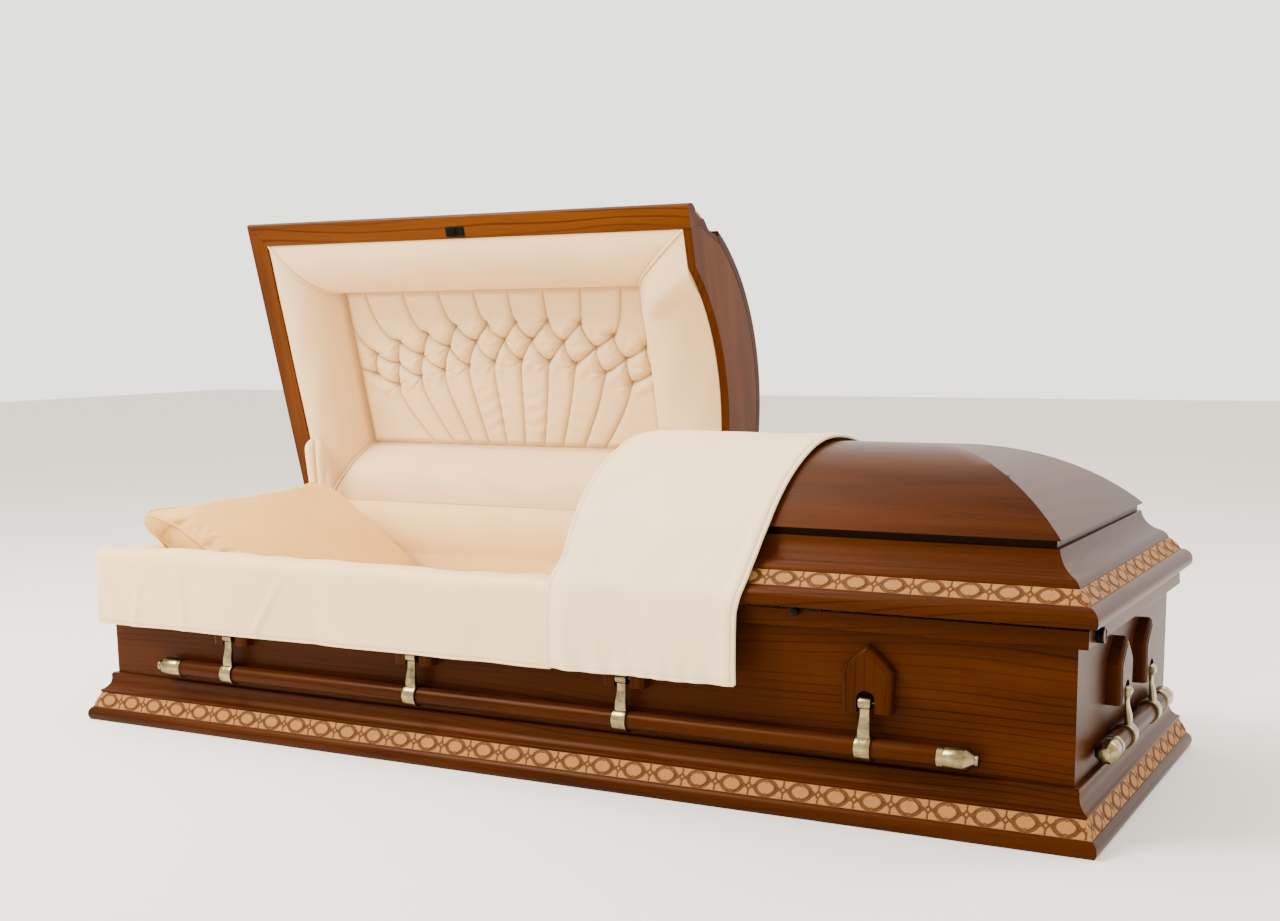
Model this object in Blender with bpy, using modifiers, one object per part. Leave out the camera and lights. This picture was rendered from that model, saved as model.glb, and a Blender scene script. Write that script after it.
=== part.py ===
"""A hardwood funeral casket with a divided lid, in metres and +Z up.

The origin is the centre of the underside. +X runs to the foot, -Y is the front with the long swing bar.
An inset is a distance in from the outermost line of the base moulding. Moulding sections are lists of
(inset, height) points that are extruded along a side and mitred at the corners. The lid pieces are
modelled closed, and the empty on the hinge line stands the head lid open.
"""

import math

import bmesh
import bpy
from mathutils import Matrix, Vector

# Overall size and joints
LENGTH = 2.100
WIDTH = 0.760
JOIN_GAP = 0.0003

# Box
PANEL_INSET = 0.0476
PANEL_THICKNESS = 0.020
BOARD_THICKNESS = 0.018
RAIL_BOTTOM_Z = 0.3151
RAIL_TOP_Z = 0.3446
RAIL_INSET = 0.0278
BACK_RAIL_LOW_INSET = 0.0300
BACK_RAIL_HIGH_INSET = 0.0385

# Base moulding, from the floor up
BASE_FOOT_INSET = 0.0037
BASE_BEAD_BULGE = 0.0060
BASE_BAND_LOW = (0.0083, 0.0268)
BASE_BAND_HIGH = (0.0214, 0.0560)
BASE_LIP = (0.0200, 0.0598)
BASE_COVE_TOP = (0.0372, 0.0918)
BASE_COVE_HOLLOW = 0.0060
BASE_LEDGE_INSET = 0.0403
BASE_TOP_Z = 0.0964

# Lid moulding, from the rim up
RIM_INSET = 0.0126
RIM_BOTTOM_Z = 0.3515
RIM_BULGE = 0.0085
RIM_INNER_INSET = 0.0588
RIM_INNER_TOP_Z = 0.3850
LID_BAND_LOW = (0.0282, 0.3810)
LID_BAND_HIGH = (0.0481, 0.4040)
OGEE_LIP = (0.0490, 0.4062)
OGEE_TURN = (0.0616, 0.4185)
OGEE_TOP = (0.0908, 0.4560)
OGEE_ROUND = 0.0018
OGEE_HOLLOW = 0.0062

# Crown of the lids
CROWN_EDGE_INSET = 0.0877
CROWN_EDGE_Z = 0.4691
CROWN_TOP_Z = 0.5910
CROWN_THICKNESS = 0.018
CROWN_STEPS = 24

# Where the lid is divided, and its hinge line
HEAD_LID_END_X = 0.092
LID_GAP = 0.004
RIB_THICKNESS = 0.018
RIB_ARCH_HALF_WIDTH = 0.245
RIB_ARCH_RISE = 0.079
HINGE_INSET = 0.0408
HINGE_Z = 0.3474
LID_OPEN_DEG = 75.6

# Carved bands
BAND_THICKNESS = 0.0040
MOTIF_PITCH = 0.0625
MOTIF_WIDTH = 0.045
MOTIF_HEIGHT = 0.026
MOTIF_SLOPE = 0.0025
MOTIF_RELIEF = 0.0013
MOTIF_ROOT = 0.0012

# Ears, the shields that carry the swing bars
EAR_BOTTOM_Z = 0.184
EAR_SHOULDER_Z = 0.252
EAR_APEX_Z = 0.293
EAR_BOTTOM_WIDTH = 0.082
EAR_SHOULDER_WIDTH = 0.090
EAR_BROW_BULGE = 0.0025
EAR_THICKNESS = 0.024
EAR_EDGE = 0.008
ARCH_WIDTH = 0.031
ARCH_SPRING_Z = 0.2070
ARCH_TOP_Z = 0.2205
EAR_SPACING_LONG = 0.4470
EAR_SPACING_END = 0.1880
LONG_EARS = 4
END_EARS = 2

# Swing bars and their arms
PIN_Z = 0.2000
PIN_DEPTH = 0.016
PIN_RADIUS = 0.0025
PIN_REACH = 0.0060
KNUCKLE_RADIUS = 0.0105
KNUCKLE_WIDTH = 0.020
KNUCKLE_DEPTH = 0.0215
NECK_DEPTH = 0.0220
NECK_THICKNESS = 0.0055
NECK_TOP_WIDTH = 0.0180
NECK_LOW_WIDTH = 0.0215
CLASP_WIDTH = 0.025
CLASP_WALL = 0.0037
CLASP_FORWARD = 0.0005
BAR_Z = 0.1270
BAR_DEPTH = 0.0215
BAR_RADIUS = 0.0165
BAR_LONG = 1.720
BAR_END = 0.480
CAP_LENGTH = 0.066
CAP_RIM = 0.0105
CAP_RIM_RADIUS = 0.0194
CAP_WAIST_RADIUS = 0.0180
CAP_BODY = 0.047
CAP_CONE = 0.059
CAP_NECK_RADIUS = 0.0096
CAP_BUTTON_RADIUS = 0.0105

# Lock plug in the foot rail
PLUG_RADIUS = 0.0130
PLUG_LENGTH = 0.012
PLUG_INSET = 0.0830
PLUG_Z = 0.3300

# Lining, mattress and pillow
LINING_THICKNESS = 0.008
MATTRESS_THICKNESS = 0.140
MATTRESS_CLEARANCE = 0.004
MATTRESS_ROUND = 0.030
PILLOW_LENGTH = 0.360
PILLOW_WIDTH = 0.470
PILLOW_THICKNESS = 0.120
PILLOW_SLOPE_DEG = 31.0
PILLOW_HEAD_CLEARANCE = 0.050
PILLOW_RISE = 0.004

# Padded rolls and tufted panel inside the head lid, and the plain panel inside the foot lid
ROLL_SIDE_CLEARANCE = 0.0015
ROLL_RISE = 0.003
ROLL_BACK = 0.0045
TUFT_HEAD_INSET = 0.154
TUFT_SIDE_INSET = 0.1955
TUFT_CUT_INSET = 0.188
TUFT_Z = 0.4700
TUFT_THICKNESS = 0.020
TUFT_OVERLAP = 0.004
FOOT_LINING_RISE = 0.006
FOOT_LINING_THICKNESS = 0.012

# Apron turned out over the front rail, and throw laid over the foot lid
HEM_Z = 0.2085
APRON_THICKNESS = 0.008
APRON_OUT = 0.0331
APRON_TOP_Z = 0.3630
APRON_HEAD_OVERHANG = 0.0030
APRON_END_GAP = 0.004
APRON_TUCK = 0.055
THROW_THICKNESS = 0.010
THROW_CROWN_GAP = 0.0015
THROW_HANG_GAP = 0.0072
THROW_BEND_DEPTH = 0.0060
THROW_BEND_HEIGHT = 0.0240
THROW_BEND_BULGE = 0.0015
THROW_SPAN_BULGE = 0.0050
THROW_SIDE_GAP = 0.0025
THROW_WIDTH = 0.372
THROW_BACK_DEG = 38.0

# Worked out from the sizes above
HALF_LENGTH = LENGTH / 2
HALF_WIDTH = WIDTH / 2
PANEL_INNER_INSET = PANEL_INSET + PANEL_THICKNESS
FOOT_LID_START_X = HEAD_LID_END_X + LID_GAP
HINGE_Y = HALF_WIDTH - HINGE_INSET
CROWN_HALF_SPAN = HALF_WIDTH - CROWN_EDGE_INSET
CROWN_RISE = CROWN_TOP_Z - CROWN_EDGE_Z
CROWN_RADIUS = (CROWN_HALF_SPAN**2 + CROWN_RISE**2) / (2 * CROWN_RISE)
CROWN_CENTRE_Z = CROWN_TOP_Z - CROWN_RADIUS
CROWN_INNER_RADIUS = CROWN_RADIUS - CROWN_THICKNESS
CROWN_INNER_INSET = HALF_WIDTH - math.sqrt(
    CROWN_INNER_RADIUS**2 - (CROWN_EDGE_Z - CROWN_CENTRE_Z) ** 2
)
MATTRESS_TOP_Z = BOARD_THICKNESS + MATTRESS_THICKNESS
CLASP_RADIUS = BAR_RADIUS + JOIN_GAP + CLASP_WALL

# Each side: the direction that its moulding runs, the way it faces, and its half size and the other one
SIDES = {
    "front": (Vector((1, 0, 0)), Vector((0, -1, 0)), HALF_WIDTH, HALF_LENGTH),
    "foot": (Vector((0, 1, 0)), Vector((1, 0, 0)), HALF_LENGTH, HALF_WIDTH),
    "back": (Vector((-1, 0, 0)), Vector((0, 1, 0)), HALF_WIDTH, HALF_LENGTH),
    "head": (Vector((0, -1, 0)), Vector((-1, 0, 0)), HALF_LENGTH, HALF_WIDTH),
}


def clear_scene():
    for item in list(bpy.data.objects):
        bpy.data.objects.remove(item, do_unlink=True)


def new_collection(name, cutters=False):
    collection = bpy.data.collections.new(name)
    bpy.context.scene.collection.children.link(collection)
    collection.hide_render = cutters
    return collection


def material(name, colour, roughness, metallic=0.0):
    made = bpy.data.materials.new(name)
    made.use_nodes = True
    shader = made.node_tree.nodes["Principled BSDF"]
    shader.inputs["Base Color"].default_value = (*colour, 1.0)
    shader.inputs["Roughness"].default_value = roughness
    shader.inputs["Metallic"].default_value = metallic
    made.diffuse_color = (*colour, 1.0)
    return made


clear_scene()
CASKET = new_collection("funeral_casket")
CUTTERS = new_collection("cutters", cutters=True)
WOOD = material("stained wood", (0.16, 0.045, 0.014), 0.32)
CARVED = material("carved band", (0.50, 0.27, 0.13), 0.60)
BRASS = material("antique brass", (0.55, 0.42, 0.20), 0.30, 1.0)
CLOTH = material("cream crepe", (0.80, 0.66, 0.50), 0.75)


def add_object(name, mesh, finish, collection=CASKET):
    """A named object with one material, smooth but for its sharp edges."""
    made = bpy.data.objects.new(name, mesh)
    collection.objects.link(made)
    if not mesh.materials:
        mesh.materials.append(finish)
    mesh.shade_smooth()
    mesh.set_sharp_from_angle(angle=math.radians(28))
    return made


def mesh_from(name, build):
    """A mesh filled by build(bm), with its faces turned outwards."""
    mesh = bpy.data.meshes.new(name)
    bm = bmesh.new()
    build(bm)
    bmesh.ops.recalc_face_normals(bm, faces=bm.faces)
    bm.to_mesh(mesh)
    bm.free()
    return mesh


def helper(name, mesh):
    """A cutter or a joined shape: it is drawn as wires and left out of the render."""
    made = add_object(name, mesh, WOOD, CUTTERS)
    made.hide_render = True
    made.display_type = "WIRE"
    return made


def boolean(target, other, operation):
    """Cuts or joins another shape, which then moves with its target."""
    other.parent = target
    modifier = target.modifiers.new(other.name, "BOOLEAN")
    modifier.operation = operation
    modifier.object = other
    modifier.solver = "EXACT"


def baked(source):
    """The object's mesh with its modifiers applied, and the object itself removed."""
    graph = bpy.context.evaluated_depsgraph_get()
    mesh = bpy.data.meshes.new_from_object(source.evaluated_get(graph))
    bm = bmesh.new()
    bm.from_mesh(mesh)
    bmesh.ops.remove_doubles(bm, verts=bm.verts, dist=0.000002)
    bmesh.ops.recalc_face_normals(bm, faces=bm.faces)
    bm.to_mesh(mesh)
    bm.free()
    mesh.transform(source.matrix_world)
    bpy.data.objects.remove(source, do_unlink=True)
    return mesh


def arc_between(start, end, bulge, steps):
    """Points of a circular arc through both ends, bulging outwards, or hollow for a negative bulge."""
    start, end = Vector(start), Vector(end)
    chord = end - start
    half = chord.length / 2
    along = chord.normalized()
    outwards = Vector((-along.y, along.x))
    radius = (half**2 + bulge**2) / (2 * bulge)
    reach = 2 * math.atan(bulge / half)
    middle = (start + end) / 2
    points = []
    for step in range(steps + 1):
        angle = reach * (2 * step / steps - 1)
        offset = radius * math.cos(angle) - (radius - bulge)
        points.append(tuple(middle + along * radius * math.sin(angle) + outwards * offset))
    return points


def place(side, inset, height, run):
    """The point of a side at an inset, a height and a distance along its run."""
    direction, outwards, half, _ = SIDES[side]
    return direction * run + outwards * (half - inset) + Vector((0, 0, height))


def side_length(name, section, side, finish, start=None, end=None, meets=()):
    """A section extruded along a side. An end with no place given is mitred at the corner.

    meets holds the neighbours' sections, before and after this side, where they differ from its own.
    """
    other_half = SIDES[side][3]
    before, after = meets or (section, section)

    def build(bm):
        def reach(neighbour):
            return other_half - neighbour[0] - JOIN_GAP

        first, last = [], []
        for point, earlier, later in zip(section, before, after):
            first.append(bm.verts.new(place(side, *point, -reach(earlier) if start is None else start)))
            last.append(place(side, *point, reach(later) if end is None else end))
        cap = bm.faces.new(first)
        pushed = bmesh.ops.extrude_face_region(bm, geom=[cap], use_keep_orig=True)["geom"]
        far = {tuple(v.co): v for v in pushed if isinstance(v, bmesh.types.BMVert)}
        for vertex, there in zip(first, last):
            far[tuple(vertex.co)].co = there

    return add_object(name, mesh_from(name, build), finish)


def box(name, low, high, finish, rounding=0.0):
    """A board between two corners, with rounded edges where a rounding is given."""

    def build(bm):
        size = Vector(high) - Vector(low)
        centre = (Vector(high) + Vector(low)) / 2
        bmesh.ops.create_cube(bm, size=1, matrix=Matrix.Translation(centre) @ Matrix.Diagonal((*size, 1)))

    made = add_object(name, mesh_from(name, build), finish)
    if rounding:
        bevel = made.modifiers.new("rounded edges", "BEVEL")
        bevel.width = rounding
        bevel.segments = 3
    return made


def outline_mesh(name, outline, depth, frame):
    """A flat outline of (across, up) points, extruded backwards by a depth, in a given frame."""

    def build(bm):
        cap = bm.faces.new([bm.verts.new((x, 0, z)) for x, z in outline])
        pushed = bmesh.ops.extrude_face_region(bm, geom=[cap], use_keep_orig=True)["geom"]
        moved = [v for v in pushed if isinstance(v, bmesh.types.BMVert)]
        bmesh.ops.translate(bm, verts=moved, vec=(0, depth, 0))
        bmesh.ops.transform(bm, verts=bm.verts, matrix=frame)

    return mesh_from(name, build)


def cylinder_x(bm, radius, half_width, centre, segments):
    """A cylinder along X."""
    turn = Matrix.Translation(centre) @ Matrix.Rotation(math.pi / 2, 4, "Y")
    bmesh.ops.create_cone(
        bm,
        cap_ends=True,
        segments=segments,
        radius1=radius,
        radius2=radius,
        depth=2 * half_width,
        matrix=turn,
    )


# Box and base


def base_section(recessed):
    """The base moulding: bead, band, lip, cove and ledge. A carved band sits in the recess."""
    low, high = Vector(BASE_BAND_LOW), Vector(BASE_BAND_HIGH)
    section = arc_between((BASE_FOOT_INSET, 0), BASE_BAND_LOW, BASE_BEAD_BULGE, 7)
    if recessed:
        section += band_recess(low, high)
    section.append(tuple(high))
    section += [(high.x + 0.0012, high.y + 0.0010)]
    section += arc_between(BASE_LIP, BASE_COVE_TOP, -BASE_COVE_HOLLOW, 7)
    section += [(BASE_LEDGE_INSET - 0.0018, BASE_TOP_Z - 0.0010), (BASE_LEDGE_INSET, BASE_TOP_Z)]
    back = PANEL_INSET - JOIN_GAP
    return section + [(back, BASE_TOP_Z), (back, 0)]


def band_normal(low, high):
    """The direction into the wood, square to the band's slope."""
    slope = (Vector(high) - Vector(low)).normalized()
    return Vector((slope.y, -slope.x))


def band_recess(low, high):
    inwards = band_normal(low, high) * (BAND_THICKNESS + JOIN_GAP)
    return [tuple(low + inwards), tuple(high + inwards)]


def band_section(low, high):
    """The strip that fills the recess, clear of it all round."""
    low, high = Vector(low), Vector(high)
    clear = (high - low).normalized() * JOIN_GAP
    inwards = band_normal(low, high) * BAND_THICKNESS
    low, high = low + clear, high - clear
    return [tuple(low), tuple(high), tuple(high + inwards), tuple(low + inwards)]


def carved_band(name, low, high, side, start=None, end=None):
    """A mitred strip with a row of raised oval medallions at an even pitch."""
    strip = side_length(name, band_section(low, high), side, CARVED, start, end)
    direction, outwards, _, other_half = SIDES[side]
    slope = (Vector(high) - Vector(low)).normalized()
    middle = (Vector(low) + Vector(high)) / 2
    uphill = -outwards * slope.x + Vector((0, 0, slope.y))
    normal = direction.cross(uphill)
    first = -(other_half - middle.x) if start is None else start
    last = (other_half - middle.x) if end is None else end
    count = int((last - first) / MOTIF_PITCH)
    margin = (last - first - (count - 1) * MOTIF_PITCH) / 2

    def build(bm):
        for index in range(count):
            centre = place(side, middle.x, middle.y, first + margin + index * MOTIF_PITCH)
            turn = Matrix((direction, uphill, normal)).transposed().to_4x4()
            lift = (MOTIF_RELIEF - MOTIF_ROOT) / 2
            grow = Matrix.Diagonal((MOTIF_WIDTH, MOTIF_HEIGHT, 1, 1))
            bmesh.ops.create_cone(
                bm,
                cap_ends=True,
                segments=8,
                radius1=0.5,
                radius2=0.5 - MOTIF_SLOPE / MOTIF_HEIGHT,
                depth=MOTIF_RELIEF + MOTIF_ROOT,
                matrix=Matrix.Translation(centre + normal * lift) @ turn @ grow,
            )

    boolean(strip, helper(name + "_medallions", mesh_from(name, build)), "UNION")
    return strip


def build_box():
    inner = PANEL_INNER_INSET
    top = RAIL_BOTTOM_Z - JOIN_GAP
    panel = [(PANEL_INSET, 0), (PANEL_INSET, top), (inner, top), (inner, 0)]
    rail = [(RAIL_INSET, RAIL_BOTTOM_Z), (RAIL_INSET, RAIL_TOP_Z), (inner, RAIL_TOP_Z), (inner, RAIL_BOTTOM_Z)]
    canted = [(BACK_RAIL_LOW_INSET, RAIL_BOTTOM_Z), (BACK_RAIL_HIGH_INSET, RAIL_TOP_Z)] + rail[2:]
    rails = {"front": rail, "foot": rail, "back": canted, "head": rail}
    order = list(SIDES)
    for place_in_order, side in enumerate(order):
        meets = (rails[order[place_in_order - 1]], rails[order[(place_in_order + 1) % len(order)]])
        side_length("top_rail_" + side, rails[side], side, WOOD, meets=meets)
        side_length(side + "_panel", panel, side, WOOD)
        side_length("base_moulding_" + side, base_section(side in ("front", "foot")), side, WOOD)
    for side in ("front", "foot"):
        carved_band("base_band_" + side, BASE_BAND_LOW, BASE_BAND_HIGH, side)
    half_x = HALF_LENGTH - inner - JOIN_GAP
    half_y = HALF_WIDTH - inner - JOIN_GAP
    box("bottom_board", (-half_x, -half_y, 0), (half_x, half_y, BOARD_THICKNESS), WOOD)


def build_lock_plug():
    """The round lock cover in the foot rail, near the front corner."""
    face = HALF_LENGTH - RAIL_INSET + JOIN_GAP
    centre = (face + PLUG_LENGTH / 2, -(HALF_WIDTH - PLUG_INSET), PLUG_Z)
    mesh = mesh_from("lock_plug", lambda bm: cylinder_x(bm, PLUG_RADIUS, PLUG_LENGTH / 2, centre, 16))
    plug = add_object("lock_plug", mesh, BRASS)
    bevel = plug.modifiers.new("rim", "BEVEL")
    bevel.width = 0.0012
    bevel.segments = 1
    bevel.limit_method = "ANGLE"


# Lids


def lid_section(recessed):
    """The lid moulding: bullnose rim, band and ogee outside, a sloping wall inside."""
    low, high = Vector(LID_BAND_LOW), Vector(LID_BAND_HIGH)
    section = arc_between((RIM_INSET, RIM_BOTTOM_Z), LID_BAND_LOW, RIM_BULGE, 9)
    if recessed:
        section += band_recess(low, high)
    section.append(tuple(high))
    section += arc_between(OGEE_LIP, OGEE_TURN, OGEE_ROUND, 3)[:-1]
    section += arc_between(OGEE_TURN, OGEE_TOP, -OGEE_HOLLOW, 7)
    top = CROWN_EDGE_Z - JOIN_GAP
    section += [(OGEE_TOP[0], top), (CROWN_INNER_INSET, top)]
    return section + [(RIM_INNER_INSET, RIM_INNER_TOP_Z), (RIM_INNER_INSET, RIM_BOTTOM_Z)]


def vault_profile(radius, half_span, base_z, steps):
    """An arch of the crown's circle above a flat base, across from -half_span to half_span."""
    reach = math.asin(half_span / radius)
    points = []
    for step in range(steps + 1):
        angle = reach * (2 * step / steps - 1)
        points.append((radius * math.sin(angle), CROWN_CENTRE_Z + radius * math.cos(angle)))
    if points[0][1] > base_z + JOIN_GAP:
        points = [(-half_span, base_z)] + points + [(half_span, base_z)]
    return points


def vault(name, radius, half_span, base_z, cut_x, end_x, beyond):
    """The crown's long barrel, hipped at the end by an equal barrel across it.

    The end barrel's crown line stands half a span inside the end, and runs on flat past the cut.
    """
    way = 1 if end_x > cut_x else -1
    profile = vault_profile(radius, half_span, base_z, CROWN_STEPS)
    length = abs(end_x - cut_x) + beyond
    barrel = outline_mesh(
        name,
        [(way * y, z) for y, z in profile],
        length,
        Matrix.Translation((cut_x - way * beyond, 0, 0)) @ Matrix.Rotation(-way * math.pi / 2, 4, "Z"),
    )
    ridge_x = end_x - way * half_span
    top = CROWN_CENTRE_Z + radius
    slope = [point for point in profile if point[0] >= 0]
    if slope[0][0] > JOIN_GAP:
        slope = [(0, top)] + slope
    far = -abs(ridge_x - cut_x) - 2 * beyond - RIB_THICKNESS
    hip = [(far, base_z), (far, top)] + slope
    if hip[-1][1] > base_z + JOIN_GAP:
        hip.append((half_span, base_z))
    hip = [(ridge_x + way * x, z) for x, z in hip]
    across = outline_mesh(name + "_hip", hip, 4 * half_span, Matrix.Translation((0, -2 * half_span, 0)))
    return barrel, across


def build_crown(name, cut_x, end_x):
    """A shell of even thickness: the outer vault, less an inner one that runs out at the cut."""
    outer, outer_hip = vault(name, CROWN_RADIUS, CROWN_HALF_SPAN, CROWN_EDGE_Z, cut_x, end_x, 0)
    crown = add_object(name, outer, WOOD)
    boolean(crown, helper(name + "_hip", outer_hip), "INTERSECT")
    inner_span = HALF_WIDTH - CROWN_INNER_INSET
    inner_end = end_x - math.copysign(CROWN_INNER_INSET - CROWN_EDGE_INSET, end_x - cut_x)
    below = CROWN_EDGE_Z - CROWN_THICKNESS
    inner, inner_hip = vault(name + "_in", CROWN_INNER_RADIUS, inner_span, below, cut_x, inner_end, CROWN_THICKNESS)
    hollow = helper(name + "_hollow", inner)
    boolean(hollow, helper(name + "_hollow_hip", inner_hip), "INTERSECT")
    boolean(crown, hollow, "DIFFERENCE")
    return crown


def build_rib(name, low_x):
    """The board that closes a cut end: it follows the moulding and crown inside, over an arched opening."""
    edge = HALF_WIDTH - RIM_INNER_INSET - JOIN_GAP
    span = HALF_WIDTH - CROWN_INNER_INSET - JOIN_GAP
    arch = arc_between(
        (RIB_ARCH_HALF_WIDTH, RIM_BOTTOM_Z), (-RIB_ARCH_HALF_WIDTH, RIM_BOTTOM_Z), -RIB_ARCH_RISE, 16
    )
    crown = vault_profile(CROWN_INNER_RADIUS - JOIN_GAP, span, RIM_BOTTOM_Z, CROWN_STEPS)[1:-1]
    side = [(-edge, RIM_BOTTOM_Z), (-edge, RIM_INNER_TOP_Z)]
    outline = side + crown + [(-y, z) for y, z in reversed(side)] + arch
    frame = Matrix.Translation((low_x, 0, 0)) @ Matrix.Rotation(-math.pi / 2, 4, "Z")
    mesh = outline_mesh(name, [(y, z) for y, z in outline], RIB_THICKNESS, frame)
    return add_object(name, mesh, WOOD)


def build_lid(name, cut_x, end, carved):
    """One half of the lid, closed: crown, rib and three lengths of moulding with their carved bands."""
    way = 1 if end == "foot" else -1
    gap = way * JOIN_GAP
    pieces = [build_crown(name + "_crown", cut_x, way * (HALF_LENGTH - CROWN_EDGE_INSET))]
    pieces.append(build_rib(name + "_rib", min(cut_x, cut_x + way * RIB_THICKNESS)))
    spans = {
        "front": {"start": cut_x} if way > 0 else {"end": cut_x},
        "back": {"end": -cut_x} if way > 0 else {"start": -cut_x},
        end: {},
    }
    for side, ends in spans.items():
        called = "end" if side == end else side
        section = lid_section(side in carved)
        pieces.append(side_length(f"{name}_moulding_{called}", section, side, WOOD, **ends))
        if side in carved:
            inside = {key: value + gap for key, value in ends.items()}
            pieces.append(
                carved_band(f"{name}_band_{called}", LID_BAND_LOW, LID_BAND_HIGH, side, **inside)
            )
    return pieces


def arch_lift(y):
    """How far the rib's arch stands above its straight foot at a distance from the middle."""
    half, rise = RIB_ARCH_HALF_WIDTH, RIB_ARCH_RISE
    radius = (half**2 + rise**2) / (2 * rise)
    return max(0, math.sqrt(max(0, radius**2 - y**2)) - (radius - rise))


def build_rolls():
    """The four padded rolls inside the head lid, sewn at mitred corners: one section led round a rectangle.

    Along the cut end the section's outer edge rises with the rib's arch.
    """
    outer = RIM_INNER_INSET + ROLL_SIDE_CLEARANCE
    inner_x = (-(HALF_LENGTH - TUFT_HEAD_INSET), HEAD_LID_END_X - TUFT_CUT_INSET)
    inner_y = HALF_WIDTH - TUFT_SIDE_INSET
    outer_x = (-(HALF_LENGTH - outer), HEAD_LID_END_X - RIB_THICKNESS - ROLL_SIDE_CLEARANCE)
    outer_y = HALF_WIDTH - outer
    low = RIM_BOTTOM_Z + ROLL_RISE
    back = TUFT_Z + ROLL_BACK
    section = [(0.0, low), (0.16, low), (0.45, low + 0.020), (0.75, low + 0.058), (1.0, TUFT_Z), (1.0, back)]
    section += [(0.68, back), (0.0, RIM_INNER_TOP_Z - 0.001)]
    stations = [(0, -1), (1, -1)] + [(1, step / 4) for step in range(-3, 4)] + [(1, 1), (0, 1)]

    def build(bm):
        loops = []
        for end, across in stations:
            loop = []
            for share, height in section:
                x = outer_x[end] + share * (inner_x[end] - outer_x[end])
                y = across * (outer_y + share * (inner_y - outer_y))
                lift = (1 - share) * arch_lift(across * outer_y) if end else 0
                loop.append(bm.verts.new((x, y, min(height + lift, back))))
            loops.append(loop)
        for index, loop in enumerate(loops):
            after = loops[(index + 1) % len(loops)]
            for step in range(len(section)):
                following = (step + 1) % len(section)
                bm.faces.new((loop[step], after[step], after[following], loop[following]))

    rolls = add_object("head_lid_rolls", mesh_from("head_lid_rolls", build), CLOTH)
    low_corner = (inner_x[0] - TUFT_OVERLAP, -inner_y - TUFT_OVERLAP, back + 0.0005)
    high_corner = (inner_x[1] + TUFT_OVERLAP, inner_y + TUFT_OVERLAP, back + 0.0005 + TUFT_THICKNESS)
    tufted = box("head_lid_tufted_panel", low_corner, high_corner, CLOTH)
    return [rolls, tufted]


def build_foot_lining():
    """The plain panel that closes the foot lid inside."""
    inset = RIM_INNER_INSET + ROLL_SIDE_CLEARANCE
    low_z = RIM_BOTTOM_Z + FOOT_LINING_RISE
    start = FOOT_LID_START_X + RIB_THICKNESS + ROLL_SIDE_CLEARANCE
    low = (start, -(HALF_WIDTH - inset), low_z)
    high = (HALF_LENGTH - inset, HALF_WIDTH - inset, low_z + FOOT_LINING_THICKNESS)
    return box("foot_lid_lining", low, high, CLOTH)


def swept_cloth(name, path, thickness, low_x, high_x, narrow_from=None, narrow_x=None):
    """A cloth's outer line in (y, z), drawn out along X and thickened inwards.

    Points of the line from narrow_from on start at narrow_x instead of low_x.
    """
    mesh = bpy.data.meshes.new(name)
    bm = bmesh.new()
    first = [bm.verts.new((low_x, y, z)) for y, z in path]
    edges = [bm.edges.new(pair) for pair in zip(first, first[1:])]
    pushed = bmesh.ops.extrude_edge_only(bm, edges=edges)["geom"]
    moved = [v for v in pushed if isinstance(v, bmesh.types.BMVert)]
    bmesh.ops.translate(bm, verts=moved, vec=(high_x - low_x, 0, 0))
    if narrow_from is not None:
        for vertex in first[narrow_from:]:
            vertex.co.x = narrow_x
    bmesh.ops.recalc_face_normals(bm, faces=bm.faces)
    if sum(face.normal.y * face.calc_area() for face in bm.faces) > 0:
        bmesh.ops.reverse_faces(bm, faces=bm.faces)
    bm.to_mesh(mesh)
    bm.free()
    cloth = add_object(name, mesh, CLOTH)
    solid = cloth.modifiers.new("thickness", "SOLIDIFY")
    solid.thickness = thickness
    solid.offset = -1
    solid.use_even_offset = True
    return cloth


def build_throw():
    """Laid over the foot lid: a straight drop, a bend over the rim, a free span and an arc over the crown."""
    radius = CROWN_RADIUS + THROW_CROWN_GAP + THROW_THICKNESS
    drop_y = -(HALF_WIDTH - RIM_INSET + THROW_HANG_GAP + THROW_THICKNESS)
    bend = (drop_y + THROW_BEND_DEPTH, RIM_BOTTOM_Z + THROW_BEND_HEIGHT)
    first = -math.asin(CROWN_HALF_SPAN / CROWN_RADIUS)
    last = math.radians(THROW_BACK_DEG)
    over = []
    for step in range(17):
        angle = first + (last - first) * step / 16
        over.append((radius * math.sin(angle), CROWN_CENTRE_Z + radius * math.cos(angle)))
    path = [(drop_y, HEM_Z)] + arc_between((drop_y, RIM_BOTTOM_Z), bend, THROW_BEND_BULGE, 3)
    path += arc_between(bend, over[0], THROW_SPAN_BULGE, 5)[1:-1] + over
    low_x = FOOT_LID_START_X + THROW_SIDE_GAP
    return swept_cloth("throw", path, THROW_THICKNESS, low_x, low_x + THROW_WIDTH)


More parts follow.
